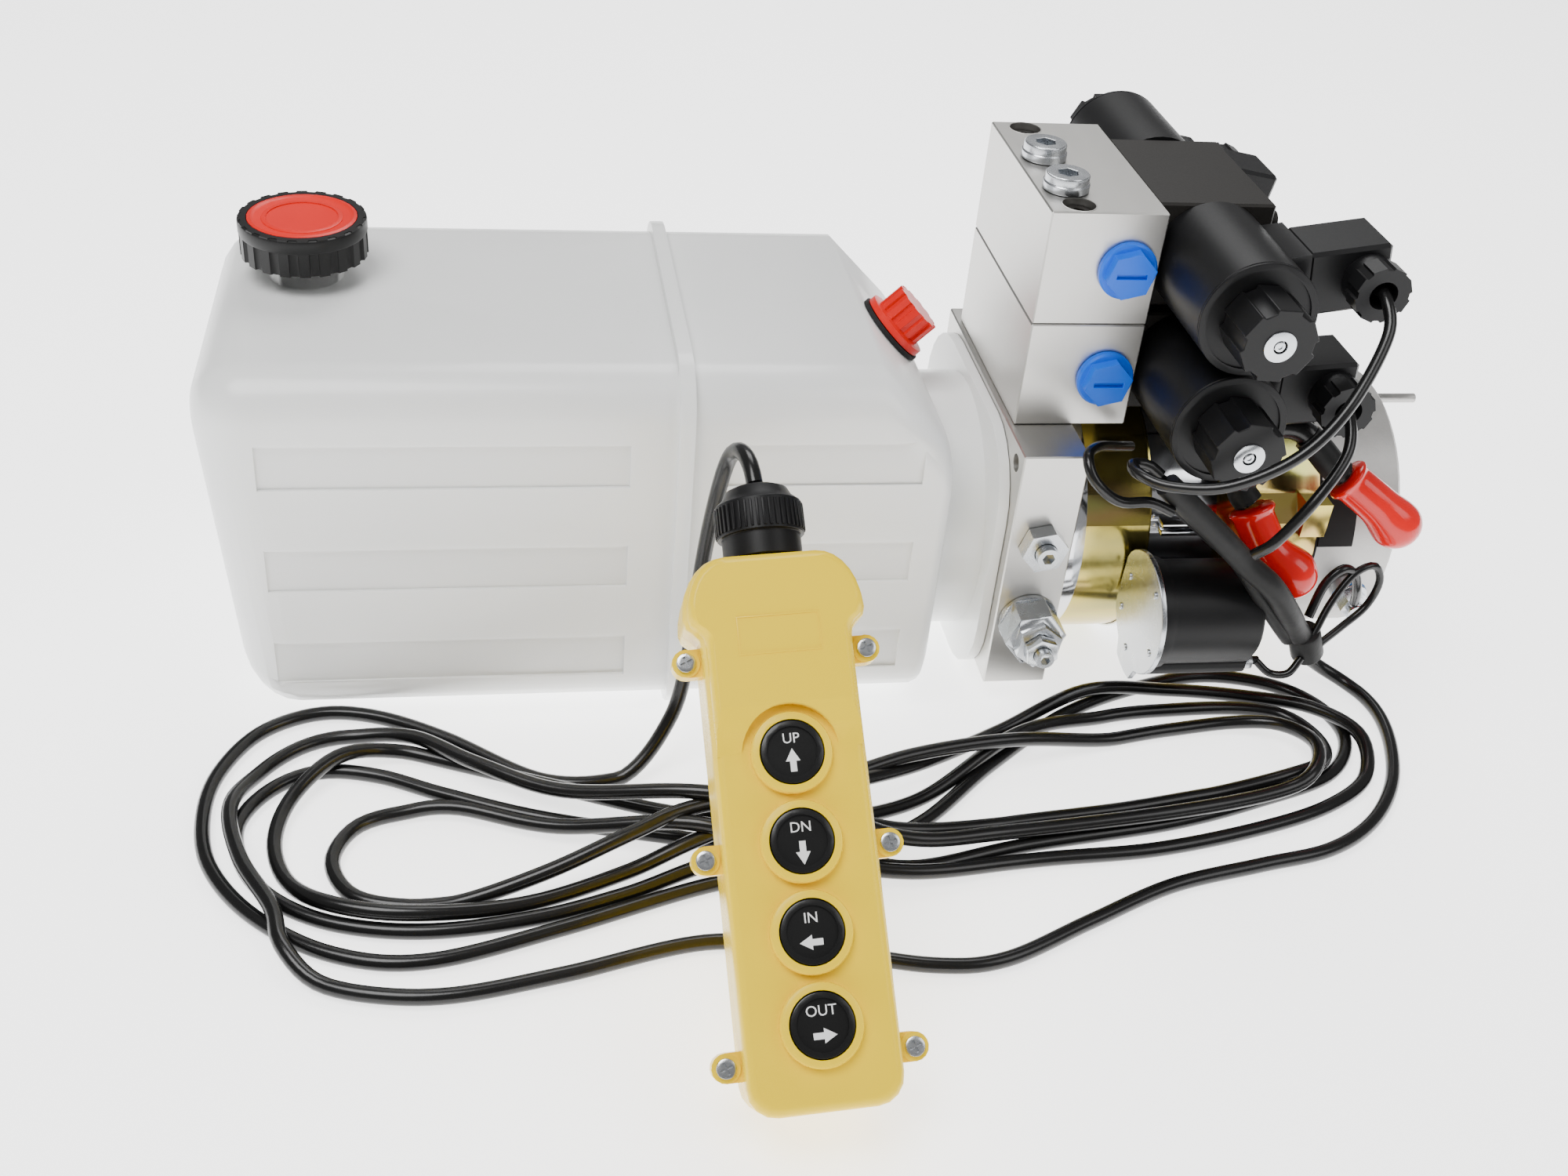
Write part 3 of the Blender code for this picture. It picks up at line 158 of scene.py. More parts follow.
class Tree:
    """One material's nodes."""

    def __init__(self, name: str) -> None:
        """Start a material with its Principled shader.

        Args:
            name: The material's name.
        """
        self.material = bpy.data.materials.new(name)
        self.material.use_nodes = True
        self.nodes = self.material.node_tree.nodes
        self.links = self.material.node_tree.links
        self.shader = self.nodes["Principled BSDF"]

    def node(self, kind: str, settings: dict[str, Any], inputs: dict[Any, Any], output: Any = 0) -> Value:
        """Add a node.

        Args:
            kind: The node's type.
            settings: Its own properties, set first.
            inputs: Socket names or numbers with their values or links.
            output: The socket to return.

        Returns:
            The output socket as a value.
        """
        node = self.nodes.new(kind)
        for key, value in settings.items():
            if key == "stops":
                self._stops(node, value)
            else:
                setattr(node, key, value)
        for key, value in inputs.items():
            self.feed(node.inputs[key], value)
        return Value(self, node.outputs[output])

    def _stops(self, node: bpy.types.Node, stops: Sequence[tuple[float, Sequence[float]]]) -> None:
        """Set a colour ramp's stops."""
        ramp = node.color_ramp
        while len(ramp.elements) < len(stops):
            ramp.elements.new(0.5)
        for element, (position, colour) in zip(ramp.elements, stops):
            element.position = position
            element.color = (*colour, 1.0)

    def feed(self, socket: bpy.types.NodeSocket, value: Any) -> None:
        """Link a value to a socket, or set it there."""
        if isinstance(value, Value):
            self.links.new(value.socket, socket)
        else:
            socket.default_value = value

    def place(self, scale: Triple = (1.0, 1.0, 1.0)) -> Value:
        """Object coordinates, stretched by a scale."""
        point = self.node("ShaderNodeTexCoord", {}, {}, "Object")
        return self.node("ShaderNodeMapping", {}, {"Vector": point, "Scale": scale})

    def noise(self, scale: float, detail: float = 3.0, stretch: Triple = (1.0, 1.0, 1.0)) -> Value:
        """Noise with this many features to the metre."""
        sockets = {"Vector": self.place(stretch), "Scale": scale, "Detail": detail}
        return self.node("ShaderNodeTexNoise", {}, sockets)

    def ramp(self, value: Value, stops: Sequence[tuple[float, Sequence[float]]]) -> Value:
        """A colour ramp over a value."""
        return self.node("ShaderNodeValToRGB", {"stops": stops}, {"Fac": value})

    def mix(self, share: Any, first: Any, second: Any) -> Value:
        """A colour mixed from two."""
        kind = {"data_type": "RGBA"}
        return self.node("ShaderNodeMix", kind, {0: share, 6: first, 7: second}, 2)

    def bump(self, height: Value, strength: float, distance: float, under: Any = None) -> Value:
        """A normal raised by a height in metres."""
        sockets = {"Height": height, "Strength": strength, "Distance": distance}
        if under is not None:
            sockets["Normal"] = under
        return self.node("ShaderNodeBump", {}, sockets)

    def dress(self, **sockets: Any) -> bpy.types.Material:
        """Feed the shader's sockets and return the material; underscores stand for spaces."""
        for name, value in sockets.items():
            self.feed(self.shader.inputs[name.replace("_", " ")], value)
        return self.material


@dataclass(frozen=True)
class Finish:
    """A surface with two tones, an uneven gloss and a grain."""

    name: str
    light: Triple
    dark: Triple
    metallic: float = 0.0
    gloss: tuple[float, float] = (0.35, 0.5)
    patch: float = 40.0
    grain: float = 1500.0
    depth: float = 0.00003
    strength: float = 0.3
    stretch: Triple = (1.0, 1.0, 1.0)
    coat: float = 0.0
    shine: float = 0.5

    def material(self) -> bpy.types.Material:
        """Build the finish's material."""
        tree = Tree(self.name)
        patches = tree.noise(self.patch, 4.0, self.stretch)
        grain = tree.noise(self.grain, 3.0, self.stretch)
        colour = tree.mix(patches, (*self.dark, 1.0), (*self.light, 1.0))
        low, high = self.gloss
        rough = patches * (high - low) * 0.6 + grain * (high - low) * 0.4 + low
        return tree.dress(
            Base_Color=colour, Metallic=self.metallic, Roughness=rough,
            Normal=tree.bump(grain, self.strength, self.depth),
            Specular_IOR_Level=self.shine, Coat_Weight=self.coat,
        )


@dataclass(frozen=True)
class YellowZinc:
    """Passivated zinc: gold with drifting pink and green, and faint lines from rolling."""

    name: str = "yellow_zinc_tube"

    def material(self) -> bpy.types.Material:
        """Build the passivated tube's material."""
        tree = Tree(self.name)
        drift = tree.noise(9.0, 3.0, (1.0, 1.0, 2.2))
        tint = tree.ramp(drift, [
            (0.30, (0.34, 0.30, 0.09)), (0.44, (0.58, 0.46, 0.08)), (0.52, (0.62, 0.42, 0.14)),
            (0.60, (0.46, 0.46, 0.12)), (0.72, (0.44, 0.28, 0.14)),
        ])
        haze = tree.noise(60.0, 4.0)
        colour = tree.mix(haze * 0.2, tint, (0.62, 0.60, 0.42, 1.0))
        lines = tree.noise(1400.0, 2.0, (1.0, 0.05, 0.05))
        rough = haze * 0.14 + lines * 0.08 + 0.08
        return tree.dress(
            Base_Color=colour, Metallic=1.0, Roughness=rough, Normal=tree.bump(lines, 0.12, 0.00002),
        )


@dataclass(frozen=True)
class TankPlastic:
    """Blow-moulded white plastic: waxy, a little clouded, with a soft ripple."""

    name: str = "tank_wall_plastic"

    def material(self) -> bpy.types.Material:
        """Build the tank wall's material."""
        tree = Tree(self.name)
        cloud = tree.noise(7.0, 4.0)
        fine = tree.noise(420.0, 3.0)
        colour = tree.mix(cloud, (0.80, 0.815, 0.80, 1.0), (0.90, 0.905, 0.895, 1.0))
        ripple = tree.bump(tree.noise(26.0, 2.0), 0.35, 0.0012)
        skin = tree.bump(fine, 0.22, 0.0001, ripple)
        return tree.dress(
            Base_Color=colour, Roughness=cloud * 0.14 + fine * 0.1 + 0.2, Normal=skin,
            Subsurface_Weight=0.3, Subsurface_Radius=(0.02, 0.021, 0.02), Subsurface_Scale=0.3,
            Coat_Weight=0.15,
        )


FINISHES: dict[str, Any] = {
    "tank_plastic": TankPlastic(),
    "cap_black": Finish(
        "cap_black_plastic", (0.012, 0.012, 0.012), (0.005, 0.005, 0.005), gloss=(0.3, 0.5), shine=0.25,
    ),
    "cap_red": Finish(
        "cap_red_plastic", (0.80, 0.012, 0.006), (0.66, 0.006, 0.004), gloss=(0.25, 0.45), grain=700,
        shine=0.3,
    ),
    "seal_rubber": Finish(
        "seal_nitrile", (0.010, 0.010, 0.010), (0.005, 0.005, 0.005), gloss=(0.55, 0.75), shine=0.3,
    ),
    "block_aluminium": Finish(
        "milled_aluminium", (0.66, 0.65, 0.62), (0.50, 0.49, 0.47), 1.0, (0.28, 0.46), 22.0, 900.0, 0.00003,
        0.25, stretch=(1.0, 0.12, 1.0),
    ),
    "zinc_steel": Finish(
        "bright_zinc", (0.66, 0.68, 0.70), (0.46, 0.48, 0.51), 1.0, (0.16, 0.36), 120.0, 1800.0, 0.00002, 0.2,
    ),
    "port_blue": Finish(
        "port_blue_plastic", (0.0, 0.15, 0.85), (0.0, 0.10, 0.70), gloss=(0.25, 0.4), shine=0.3,
    ),
    "valve_black": Finish(
        "phosphated_iron", (0.016, 0.014, 0.012), (0.007, 0.006, 0.005), 0.0, (0.42, 0.66), 90.0, 1300.0,
        0.00006, 0.5, shine=0.3,
    ),
    "coil_black": Finish(
        "moulded_black", (0.008, 0.008, 0.009), (0.004, 0.004, 0.004), 0.0, (0.32, 0.5), 60.0, 1700.0,
        0.00003, 0.35, shine=0.22,
    ),
    "yellow_zinc": YellowZinc(),
    "cast_aluminium": Finish(
        "cast_aluminium", (0.60, 0.59, 0.57), (0.40, 0.39, 0.38), 1.0, (0.40, 0.62), 70.0, 900.0, 0.00012,
        0.6,
    ),
    "bright_chrome": Finish(
        "bright_strap", (0.86, 0.87, 0.89), (0.72, 0.73, 0.76), 1.0, (0.06, 0.18), 30.0, 1200.0, 0.00002,
        0.15, stretch=(1.0, 0.1, 0.1),
    ),
    "iron_core": Finish("wound_core", (0.36, 0.22, 0.14), (0.22, 0.13, 0.09), 0.8, (0.4, 0.6)),
    "gear_steel": Finish("ground_steel", (0.58, 0.58, 0.59), (0.42, 0.42, 0.43), 1.0, (0.2, 0.34)),
    "boot_red": Finish(
        "red_vinyl", (0.78, 0.006, 0.004), (0.62, 0.004, 0.003), gloss=(0.10, 0.24), grain=300.0, coat=0.2,
        shine=0.4,
    ),
    "cable_black": Finish(
        "cable_sheath", (0.008, 0.008, 0.008), (0.004, 0.004, 0.004), gloss=(0.16, 0.32), shine=0.4,
    ),
    "sleeve_black": Finish(
        "shrink_sleeve", (0.010, 0.010, 0.010), (0.005, 0.005, 0.005), gloss=(0.42, 0.62), grain=260.0,
        depth=0.0004, shine=0.25,
    ),
    "pendant_yellow": Finish(
        "pendant_yellow_plastic", (0.94, 0.655, 0.0), (0.90, 0.62, 0.0), 0.0, (0.22, 0.34), 25.0, 1500.0,
        0.00003, 0.3, shine=0.22,
    ),
    "button_black": Finish(
        "button_black_plastic", (0.010, 0.010, 0.010), (0.005, 0.005, 0.005), gloss=(0.18, 0.32), shine=0.35,
    ),
    "strainer_mesh": Finish("strainer_wire", (0.6, 0.6, 0.55), (0.4, 0.4, 0.36), 1.0, (0.35, 0.5)),
}
WHITE_PRINT = Finish("white_print", (0.86, 0.86, 0.85), (0.78, 0.78, 0.77), gloss=(0.4, 0.55))
WASHER_BLUE = Finish("washer_blue_fibre", (0.05, 0.22, 0.58), (0.03, 0.16, 0.45), gloss=(0.4, 0.6))


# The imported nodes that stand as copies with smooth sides, and the width of their edges' bevel in millimetres.
ROUNDED: dict[str, float] = {
    "tank_shell": 0.0, "filler_cap": 0.0, "filler_cap_insert": 0.0, "shoulder_plug": 0.3,
    "port_plug_upper": 0.35, "port_plug_lower": 0.35, "gauge_plug_front": 0.3, "gauge_plug_rear": 0.3,
    "relief_adjuster": 0.0, "relief_lock_nut": 0.0, "check_valve_body": 0.0, "check_adjuster": 0.0,
    "upper_front_coil": 0.0, "upper_rear_coil": 0.0, "lower_front_coil": 0.0, "lower_rear_coil": 0.0,
    "upper_front_coil_nut": 0.5, "upper_rear_coil_nut": 0.5, "lower_front_coil_nut": 0.5,
    "lower_rear_coil_nut": 0.5, "upper_front_connector": 0.4, "upper_rear_connector": 0.4,
    "lower_front_connector": 0.4, "lower_rear_connector": 0.4, "upper_valve_body": 0.5,
    "lower_valve_body": 0.5, "upper_valve_block": 0.35, "lower_valve_block": 0.35, "centre_manifold": 0.35,
    "motor_housing": 0.0, "motor_end_cap": 0.0, "contactor_strap": 0.0, "contactor_body": 0.3,
    "contactor_plate": 0.4, "ground_terminal": 0.0, "pendant_back": 0.0, "pendant_front": 0.0,
    "pendant_gland": 0.3, "up_button": 0.3, "down_button": 0.3, "in_button": 0.3, "out_button": 0.3,
}


class Bench:
    """Models pieces with Blender's own operators and leaves their place in their mesh."""

    def __init__(self) -> None:
        """Build every finish once."""
        self.looks = {slot: finish.material() for slot, finish in FINISHES.items()}
        self.looks["white_print"] = WHITE_PRINT.material()
        self.looks["washer_blue"] = WASHER_BLUE.material()

    def dress_nodes(self, frame: dict[str, Any]) -> None:
        """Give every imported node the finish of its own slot.
        """
        for row in frame["record"]["subparts"]:
            node = frame["nodes"][row["node"]]
            node.data.materials.clear()
            node.data.materials.append(self.looks[row["material_slot"]])
            if row["node"] in ROUNDED:
                self._rounded(node, row)
            LOG.info("dressed %s as %s", row["node"], row["material_slot"])

    def _rounded(self, node: bpy.types.Object, row: dict[str, Any]) -> None:
        """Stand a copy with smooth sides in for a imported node.

        Args:
            node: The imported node.
            row: Its row in the record.
        """
        bpy.ops.object.select_all(action="DESELECT")
        piece = bpy.data.objects.new(row["node"] + "_skin", node.data.copy())
        bpy.context.scene.collection.objects.link(piece)
        piece.select_set(True)
        bpy.context.view_layer.objects.active = piece
        bpy.ops.object.mode_set(mode="EDIT")
        bpy.ops.mesh.select_all(action="SELECT")
        bpy.ops.mesh.remove_doubles(threshold=WELD * MM)
        bpy.ops.mesh.dissolve_limited(angle_limit=math.radians(FLAT_ANGLE))
        bpy.ops.object.mode_set(mode="OBJECT")
        self._soften(piece, ROUNDED[row["node"]])
        self._smooth(piece)
        step = piece.modifiers.new("even", "WEIGHTED_NORMAL")
        step.keep_sharp = True
        step.weight = FACE_WEIGHT
        self._apply(piece, step)
        self.carry(piece, row["material_slot"], node["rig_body"])
        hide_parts(row["node"])

    def drum(
        self, name: str, radius: float, length: float, place: Matrix, sides: int = 32, bevel: float = 0.0,
    ) -> bpy.types.Object:
        """A round or many-sided rod that stands on its placement.

        Args:
            name: The piece's name.
            radius: Its corner radius in millimetres.
            length: Its length in millimetres.
            place: Where its foot's middle stands.
            sides: Its number of sides.
            bevel: The width of its rims' bevel in millimetres.

        Returns:
            The new piece.
        """
        bpy.ops.object.select_all(action="DESELECT")
        bpy.ops.mesh.primitive_cylinder_add(vertices=sides, radius=radius * MM, depth=length * MM)
        piece = bpy.context.object
        piece.name = name
        piece.data.transform(Matrix.Translation((0, 0, length * MM / 2)))
        self._soften(piece, bevel)
        return self._settle(piece, place)

    def block(self, name: str, size: Triple, place: Matrix, bevel: float = 0.4) -> bpy.types.Object:
        """A bevelled block that stands on its placement.

        Args:
            name: The piece's name.
            size: Its sides in millimetres.
            place: Where its foot's middle stands.
            bevel: The width of its edges' bevel in millimetres.

        Returns:
            The new piece.
        """
        bpy.ops.object.select_all(action="DESELECT")
        bpy.ops.mesh.primitive_cube_add(size=1.0)
        piece = bpy.context.object
        piece.name = name
        piece.data.transform(Matrix.Diagonal((*(Vector(size) * MM), 1.0)))
        piece.data.transform(Matrix.Translation((0, 0, size[2] * MM / 2)))
        self._soften(piece, bevel)
        return self._settle(piece, place)

    def nut(self, name: str, flats: float, height: float, bore: float, place: Matrix) -> bpy.types.Object:
        """A hexagon nut with a bore and broken corners."""
        piece = self.drum(name, flats / math.sqrt(3), height, place, 6, 0.35)
        tool = self.drum(name + "_tool", bore, height + 2, lifted(place, -1.0), 24)
        return self.shape(piece, Shape.CUT, tool)

    def socket_screw(
        self, name: str, radius: float, height: float, key: float, place: Matrix,
    ) -> bpy.types.Object:
        """A cap screw's head with a hexagon socket."""
        piece = self.drum(name, radius, height, place, 40, 0.4)
        depth = height * 0.55
        foot = lifted(place, height - depth)
        tool = self.drum(name + "_tool", key / math.sqrt(3), depth + 1, foot, 6)
        return self.shape(piece, Shape.CUT, tool)

    def shape(self, piece: bpy.types.Object, how: Shape, tool: bpy.types.Object) -> bpy.types.Object:
        """Cut a piece with a tool, join the tool to it or keep what both hold, and remove the tool."""
        step = piece.modifiers.new("shape", "BOOLEAN")
        step.operation = how.value
        step.solver = "EXACT"
        step.object = tool
        self._apply(piece, step)
        bpy.data.objects.remove(tool)
        return self._smooth(piece)

    def tube(
        self, name: str, points: Iterable[Vector], radius: float, slot: str, swell: Sequence[float] = (),
    ) -> bpy.types.Object:
        """A round cable or sleeve through points in metres, kept as a curve.

        Args:
            name: The piece's name.
            points: The middle line in metres.
            radius: Its radius in millimetres.
            slot: The record's slot that its finish comes from.
            swell: A share of the radius at each point, where it isn't the same all along.

        Returns:
            The new piece.
        """
        curve = bpy.data.curves.new(name, "CURVE")
        curve.dimensions = "3D"
        curve.bevel_depth = radius * MM
        curve.bevel_resolution = 10 if swell else 5
        curve.use_fill_caps = True
        places = list(points)
        spline = curve.splines.new("POLY")
        spline.points.add(len(places) - 1)
        for point, place in zip(spline.points, places):
            point.co = (*place, 1.0)
        for point, share in zip(spline.points, swell):
            point.radius = share
        spline.use_smooth = True
        piece = bpy.data.objects.new(name, curve)
        bpy.context.scene.collection.objects.link(piece)
        return self.carry(piece, slot)

    def legend(self, name: str, words: str, height: float, place: Matrix, body: str) -> bpy.types.Object:
        """Raised white letters, made a mesh."""
        bpy.ops.object.select_all(action="DESELECT")
        bpy.ops.object.text_add()
        piece = bpy.context.object
        piece.name = name
        piece.data.body = words
        piece.data.size = height * MM
        piece.data.align_x = "CENTER"
        piece.data.align_y = "CENTER"
        piece.data.extrude = 0.12 * MM
        piece.data.resolution_u = 3
        bpy.ops.object.convert(target="MESH")
        self._settle(bpy.context.object, place)
        return self.carry(bpy.context.object, "button_black", body, "white_print")

    def carry(
        self, piece: bpy.types.Object, slot: str, body: str = UNIT, look: str | None = None,
    ) -> bpy.types.Object:
        """Give a piece its finish and let it ride on a body."""
        piece.data.materials.clear()
        piece.data.materials.append(self.looks[look or slot])
        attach(piece, body)
        LOG.info("made %s", piece.name)
        return piece

    def _soften(self, piece: bpy.types.Object, width: float) -> None:
        """Bevel a piece's sharp edges."""
        if width:
            step = piece.modifiers.new("soften", "BEVEL")
            step.width = width * MM
            step.segments = 2
            step.limit_method = "ANGLE"
            step.angle_limit = math.radians(SHARP_ANGLE)
            self._apply(piece, step)

    def _apply(self, piece: bpy.types.Object, step: bpy.types.Modifier) -> None:
        """Apply one modifier."""
        bpy.ops.object.select_all(action="DESELECT")
        piece.select_set(True)
        bpy.context.view_layer.objects.active = piece
        bpy.ops.object.modifier_apply(modifier=step.name)

    def _settle(self, piece: bpy.types.Object, place: Matrix) -> bpy.types.Object:
        """Put a piece's place into its mesh."""
        piece.data.transform(place)
        return self._smooth(piece)

    def _smooth(self, piece: bpy.types.Object) -> bpy.types.Object:
        """Shade a piece smooth between its sharp edges."""
        bpy.ops.object.select_all(action="DESELECT")
        piece.select_set(True)
        bpy.context.view_layer.objects.active = piece
        bpy.ops.object.shade_smooth_by_angle(angle=math.radians(SMOOTH_ANGLE))
        return piece


def smooth_route(route: Sequence[Triple], count: int, floor: float) -> list[Vector]:
    """Evenly spaced points on a Catmull-Rom curve.

    Args:
        route: Points in the maker's millimetres.
        count: How many points to return.
        floor: The lowest height in millimetres.

    Returns:
        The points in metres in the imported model's frame.
    """
    points = [Vector(point) for point in route]
    ends = [points[0] * 2 - points[1], *points, points[-1] * 2 - points[-2]]
    fine = []
    for before, start, stop, after in zip(ends, ends[1:], ends[2:], ends[3:]):
        for step in range(24):
            t = step / 24
            bend = (2 * before - 5 * start + 4 * stop - after) * t ** 2
            cubic = (3 * start - before - 3 * stop + after) * t ** 3
            fine.append(0.5 * (2 * start + (stop - before) * t + bend + cubic))
    fine.append(points[-1])
    lengths = [0.0]
    for one, two in zip(fine, fine[1:]):
        lengths.append(lengths[-1] + (two - one).length)
    places = []
    index = 0
    for number in range(count):
        target = lengths[-1] * number / (count - 1)
        while index < len(fine) - 2 and lengths[index + 1] < target:
            index += 1
        share = (target - lengths[index]) / (lengths[index + 1] - lengths[index])
        place = fine[index].lerp(fine[index + 1], share)
        place.z = max(place.z, floor)
        places.append(at(*place))
    return places


@dataclass
class Studio:
    """The camera, the soft lights and the pale floor."""

    eye: Triple = (-223.8, -670.3, 493.1)
    yaw: float = 11.83
    pitch: float = 35.12
    roll: float = 5.74
    lens: float = 39.35

    def build(self) -> None:
        """Set up the camera, lights and floor."""
        yaw, pitch, roll = (math.radians(angle) for angle in (self.yaw, self.pitch, self.roll))
        ahead = Vector((math.sin(yaw) * math.cos(pitch), math.cos(yaw) * math.cos(pitch), -math.sin(pitch)))
        right = Vector((math.cos(yaw), -math.sin(yaw), 0))
        above = right.cross(ahead)
        across = math.cos(roll) * right + math.sin(roll) * above
        upward = math.cos(roll) * above - math.sin(roll) * right
        data = bpy.data.cameras.new("camera")
        data.lens = self.lens
        data.sensor_width = 36.0
        camera = bpy.data.objects.new("camera", data)
        bpy.context.scene.collection.objects.link(camera)
        camera.matrix_world = axes(across, upward, -ahead, at(*self.eye))
        bpy.context.scene.camera = camera
        self._light("key", (-0.55, -0.35, 1.5), 0.8, 22.0)
        self._light("fill", (1.0, -0.7, 1.2), 0.8, 6.0)
        self._light("back", (0.2, 1.1, 1.5), 0.9, 15.0)
        world = bpy.data.worlds.new("studio_air")
        world.use_nodes = True
        world.node_tree.nodes["Background"].inputs["Color"].default_value = (1.0, 1.0, 1.0, 1.0)
        world.node_tree.nodes["Background"].inputs["Strength"].default_value = 0.3
        bpy.context.scene.world = world
        bpy.ops.object.select_all(action="DESELECT")
        bpy.ops.mesh.primitive_plane_add(size=12.0, location=(0, 0, -0.0005))
        floor = bpy.context.object
        floor.name = "pale_floor"
        paper = Tree("pale_paper").dress(
            Base_Color=(0.97, 0.97, 0.97, 1.0), Roughness=0.8, Emission_Color=(1.0, 1.0, 1.0, 1.0),
            Emission_Strength=2.2,
        )
        floor.data.materials.append(paper)

    def _light(self, name: str, place: Triple, size: float, power: float) -> None:
        """Add one square soft light that looks at the unit."""
        data = bpy.data.lights.new(name, "AREA")
        data.size = size
        data.energy = power
        light = bpy.data.objects.new(name, data)
        bpy.context.scene.collection.objects.link(light)
        light.matrix_world = facing(Vector(place), Vector(place) - Vector((0, 0, 0.1)))


@dataclass
class PendantCord:
    """The pendant's long cord, from its gland through the loops on the floor to the junction."""

    diameter: float = 6.4
    points: int = 1300
    clearance: float = 0.3
    route: tuple[Triple, ...] = (
        (-128.5, -144.6, 162.5), (-129.2, -139.1, 165.7), (-130.2, -132.9, 166.8), (-131.6, -125.3, 165.1),
        (-133.2, -119.1, 160.4), (-134.8, -115.6, 153.0), (-136.8, -113.3, 140.0), (-139.0, -108.5, 116.0),
        (-140.8, -104.5, 88.0), (-142.5, -103.5, 58.0), (-150.0, -111.0, 25.0), (-172.0, -125.0, 3.5),
        (-205.0, -124.0, 3.5), (-245.0, -95.0, 3.5), (-275.0, -79.0, 3.5), (-300.0, -76.0, 3.5),
        (-323.0, -88.0, 3.5), (-337.0, -113.0, 3.5), (-340.0, -140.0, 3.5), (-334.0, -168.0, 3.5),
        (-315.0, -195.0, 3.5), (-285.0, -216.0, 3.5), (-250.0, -222.0, 3.5), (-200.0, -209.0, 3.5),
        (-145.0, -191.0, 3.5), (-95.0, -180.0, 3.5), (-50.0, -161.0, 3.5), (-10.0, -126.0, 3.5),
        (35.0, -92.0, 3.5), (78.0, -74.0, 3.5), (112.0, -68.0, 3.5), (143.0, -77.0, 3.5), (160.0, -96.0, 3.5),
        (161.0, -119.0, 3.5), (143.0, -141.0, 3.5), (105.0, -155.0, 3.5), (59.0, -167.0, 3.5),
        (-7.0, -176.0, 3.5), (-60.0, -186.0, 3.9), (-100.0, -176.0, 8.9), (-145.0, -164.0, 3.5),
        (-204.0, -148.0, 3.5), (-245.0, -131.0, 3.5), (-272.0, -118.0, 3.5), (-296.0, -114.0, 3.5),
        (-315.0, -124.0, 3.5), (-326.0, -144.0, 3.5), (-322.0, -167.0, 3.5), (-308.0, -187.0, 3.5),
        (-284.0, -201.0, 3.5), (-250.0, -207.0, 3.5), (-210.0, -203.0, 3.5), (-175.0, -193.0, 3.5),
        (-145.0, -182.0, 5.8), (-95.0, -168.0, 11.7), (-45.0, -145.0, 3.5), (5.0, -113.0, 10.4),
        (50.0, -96.0, 3.5), (90.0, -92.0, 3.5), (122.0, -93.0, 3.5), (140.5, -100.5, 3.5),
        (148.0, -119.0, 4.6),
        (140.5, -137.5, 9.0), (122.0, -145.0, 8.7), (84.0, -150.0, 3.5), (40.0, -157.0, 3.5),
        (-15.0, -163.0, 3.5), (-60.0, -171.0, 10.9), (-100.0, -163.0, 16.4), (-145.0, -152.0, 6.2),
        (-197.0, -133.0, 6.5), (-240.0, -112.0, 3.5), (-266.0, -104.0, 5.0), (-288.0, -112.0, 10.2),
        (-305.0, -130.0, 6.1), (-311.0, -153.0, 3.5), (-305.0, -176.0, 3.5), (-288.0, -194.0, 8.3),
        (-258.0, -202.0, 8.8), (-215.0, -197.0, 5.1), (-175.0, -184.0, 6.3), (-145.0, -174.0, 13.2),
        (-95.0, -158.0, 21.7), (-45.0, -130.0, 9.1), (0.0, -103.0, 3.5), (45.0, -84.0, 10.1),
        (88.0, -80.0, 5.6),
        (125.0, -84.0, 3.5), (152.0, -98.0, 7.3), (166.0, -120.0, 8.9), (160.0, -143.0, 3.6),
        (136.0, -160.0, 3.5), (100.0, -172.0, 3.5), (48.0, -182.0, 3.5), (-8.0, -185.0, 3.5),
        (-60.0, -192.0, 7.5), (-100.0, -186.0, 12.5), (-145.0, -171.0, 19.2), (-200.0, -156.0, 6.7),
        (-240.0, -141.0, 5.3), (-262.0, -141.0, 3.5), (-280.0, -148.5, 3.5), (-288.0, -167.0, 3.5),
        (-280.0, -185.5, 3.5), (-262.0, -193.0, 3.5), (-240.0, -193.0, 3.5), (-205.0, -186.0, 11.0),
        (-170.0, -174.0, 19.1), (-145.0, -163.0, 20.8), (-95.0, -148.0, 15.5), (-48.0, -132.0, 16.8),
        (0.0, -122.0, 14.7), (48.0, -112.0, 4.0), (82.0, -106.0, 3.5), (112.0, -105.0, 5.7),
        (130.0, -112.5, 10.0), (138.0, -131.0, 14.6), (130.0, -149.5, 14.7), (112.0, -157.0, 10.3),
        (62.0, -167.0, 10.5), (-15.0, -174.0, 9.6), (-60.0, -181.0, 15.5), (-100.0, -170.0, 24.7),
        (-145.0, -158.0, 24.6), (-197.0, -141.0, 12.5), (-232.0, -120.0, 10.8), (-258.0, -98.0, 7.3),
        (-284.0, -92.0, 3.5), (-305.0, -98.0, 3.5), (-322.0, -116.0, 3.8), (-329.0, -140.0, 9.4),
        (-322.0, -170.0, 10.4), (-308.0, -196.0, 9.3), (-303.0, -214.0, 8.4), (-290.0, -229.0, 3.9),
        (-268.0, -237.0, 3.5), (-240.0, -239.0, 3.5), (-200.0, -232.0, 3.5), (-145.0, -220.0, 3.5),
        (-100.0, -228.0, 3.5), (-60.0, -238.0, 3.5), (-31.0, -237.0, 3.5), (8.0, -220.0, 3.5),
        (48.0, -203.0, 3.5), (90.0, -194.0, 3.5), (124.0, -187.0, 3.5), (150.0, -172.0, 3.5),
        (170.0, -149.0, 3.5), (182.0, -122.0, 3.5), (186.0, -98.0, 3.5), (181.0, -79.0, 3.5),
        (168.0, -69.0, 8.5), (155.0, -71.0, 19.0), (147.5, -81.0, 31.0), (145.0, -91.0, 40.0),
    )

    def build(self, bench: Bench) -> None:
        radius = self.diameter / 2
        places = smooth_route(self.route, self.points, radius + self.clearance)
        cord = bench.tube("pendant_cord_sheath", places, radius, "cable_black")
        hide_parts("pendant_cord")


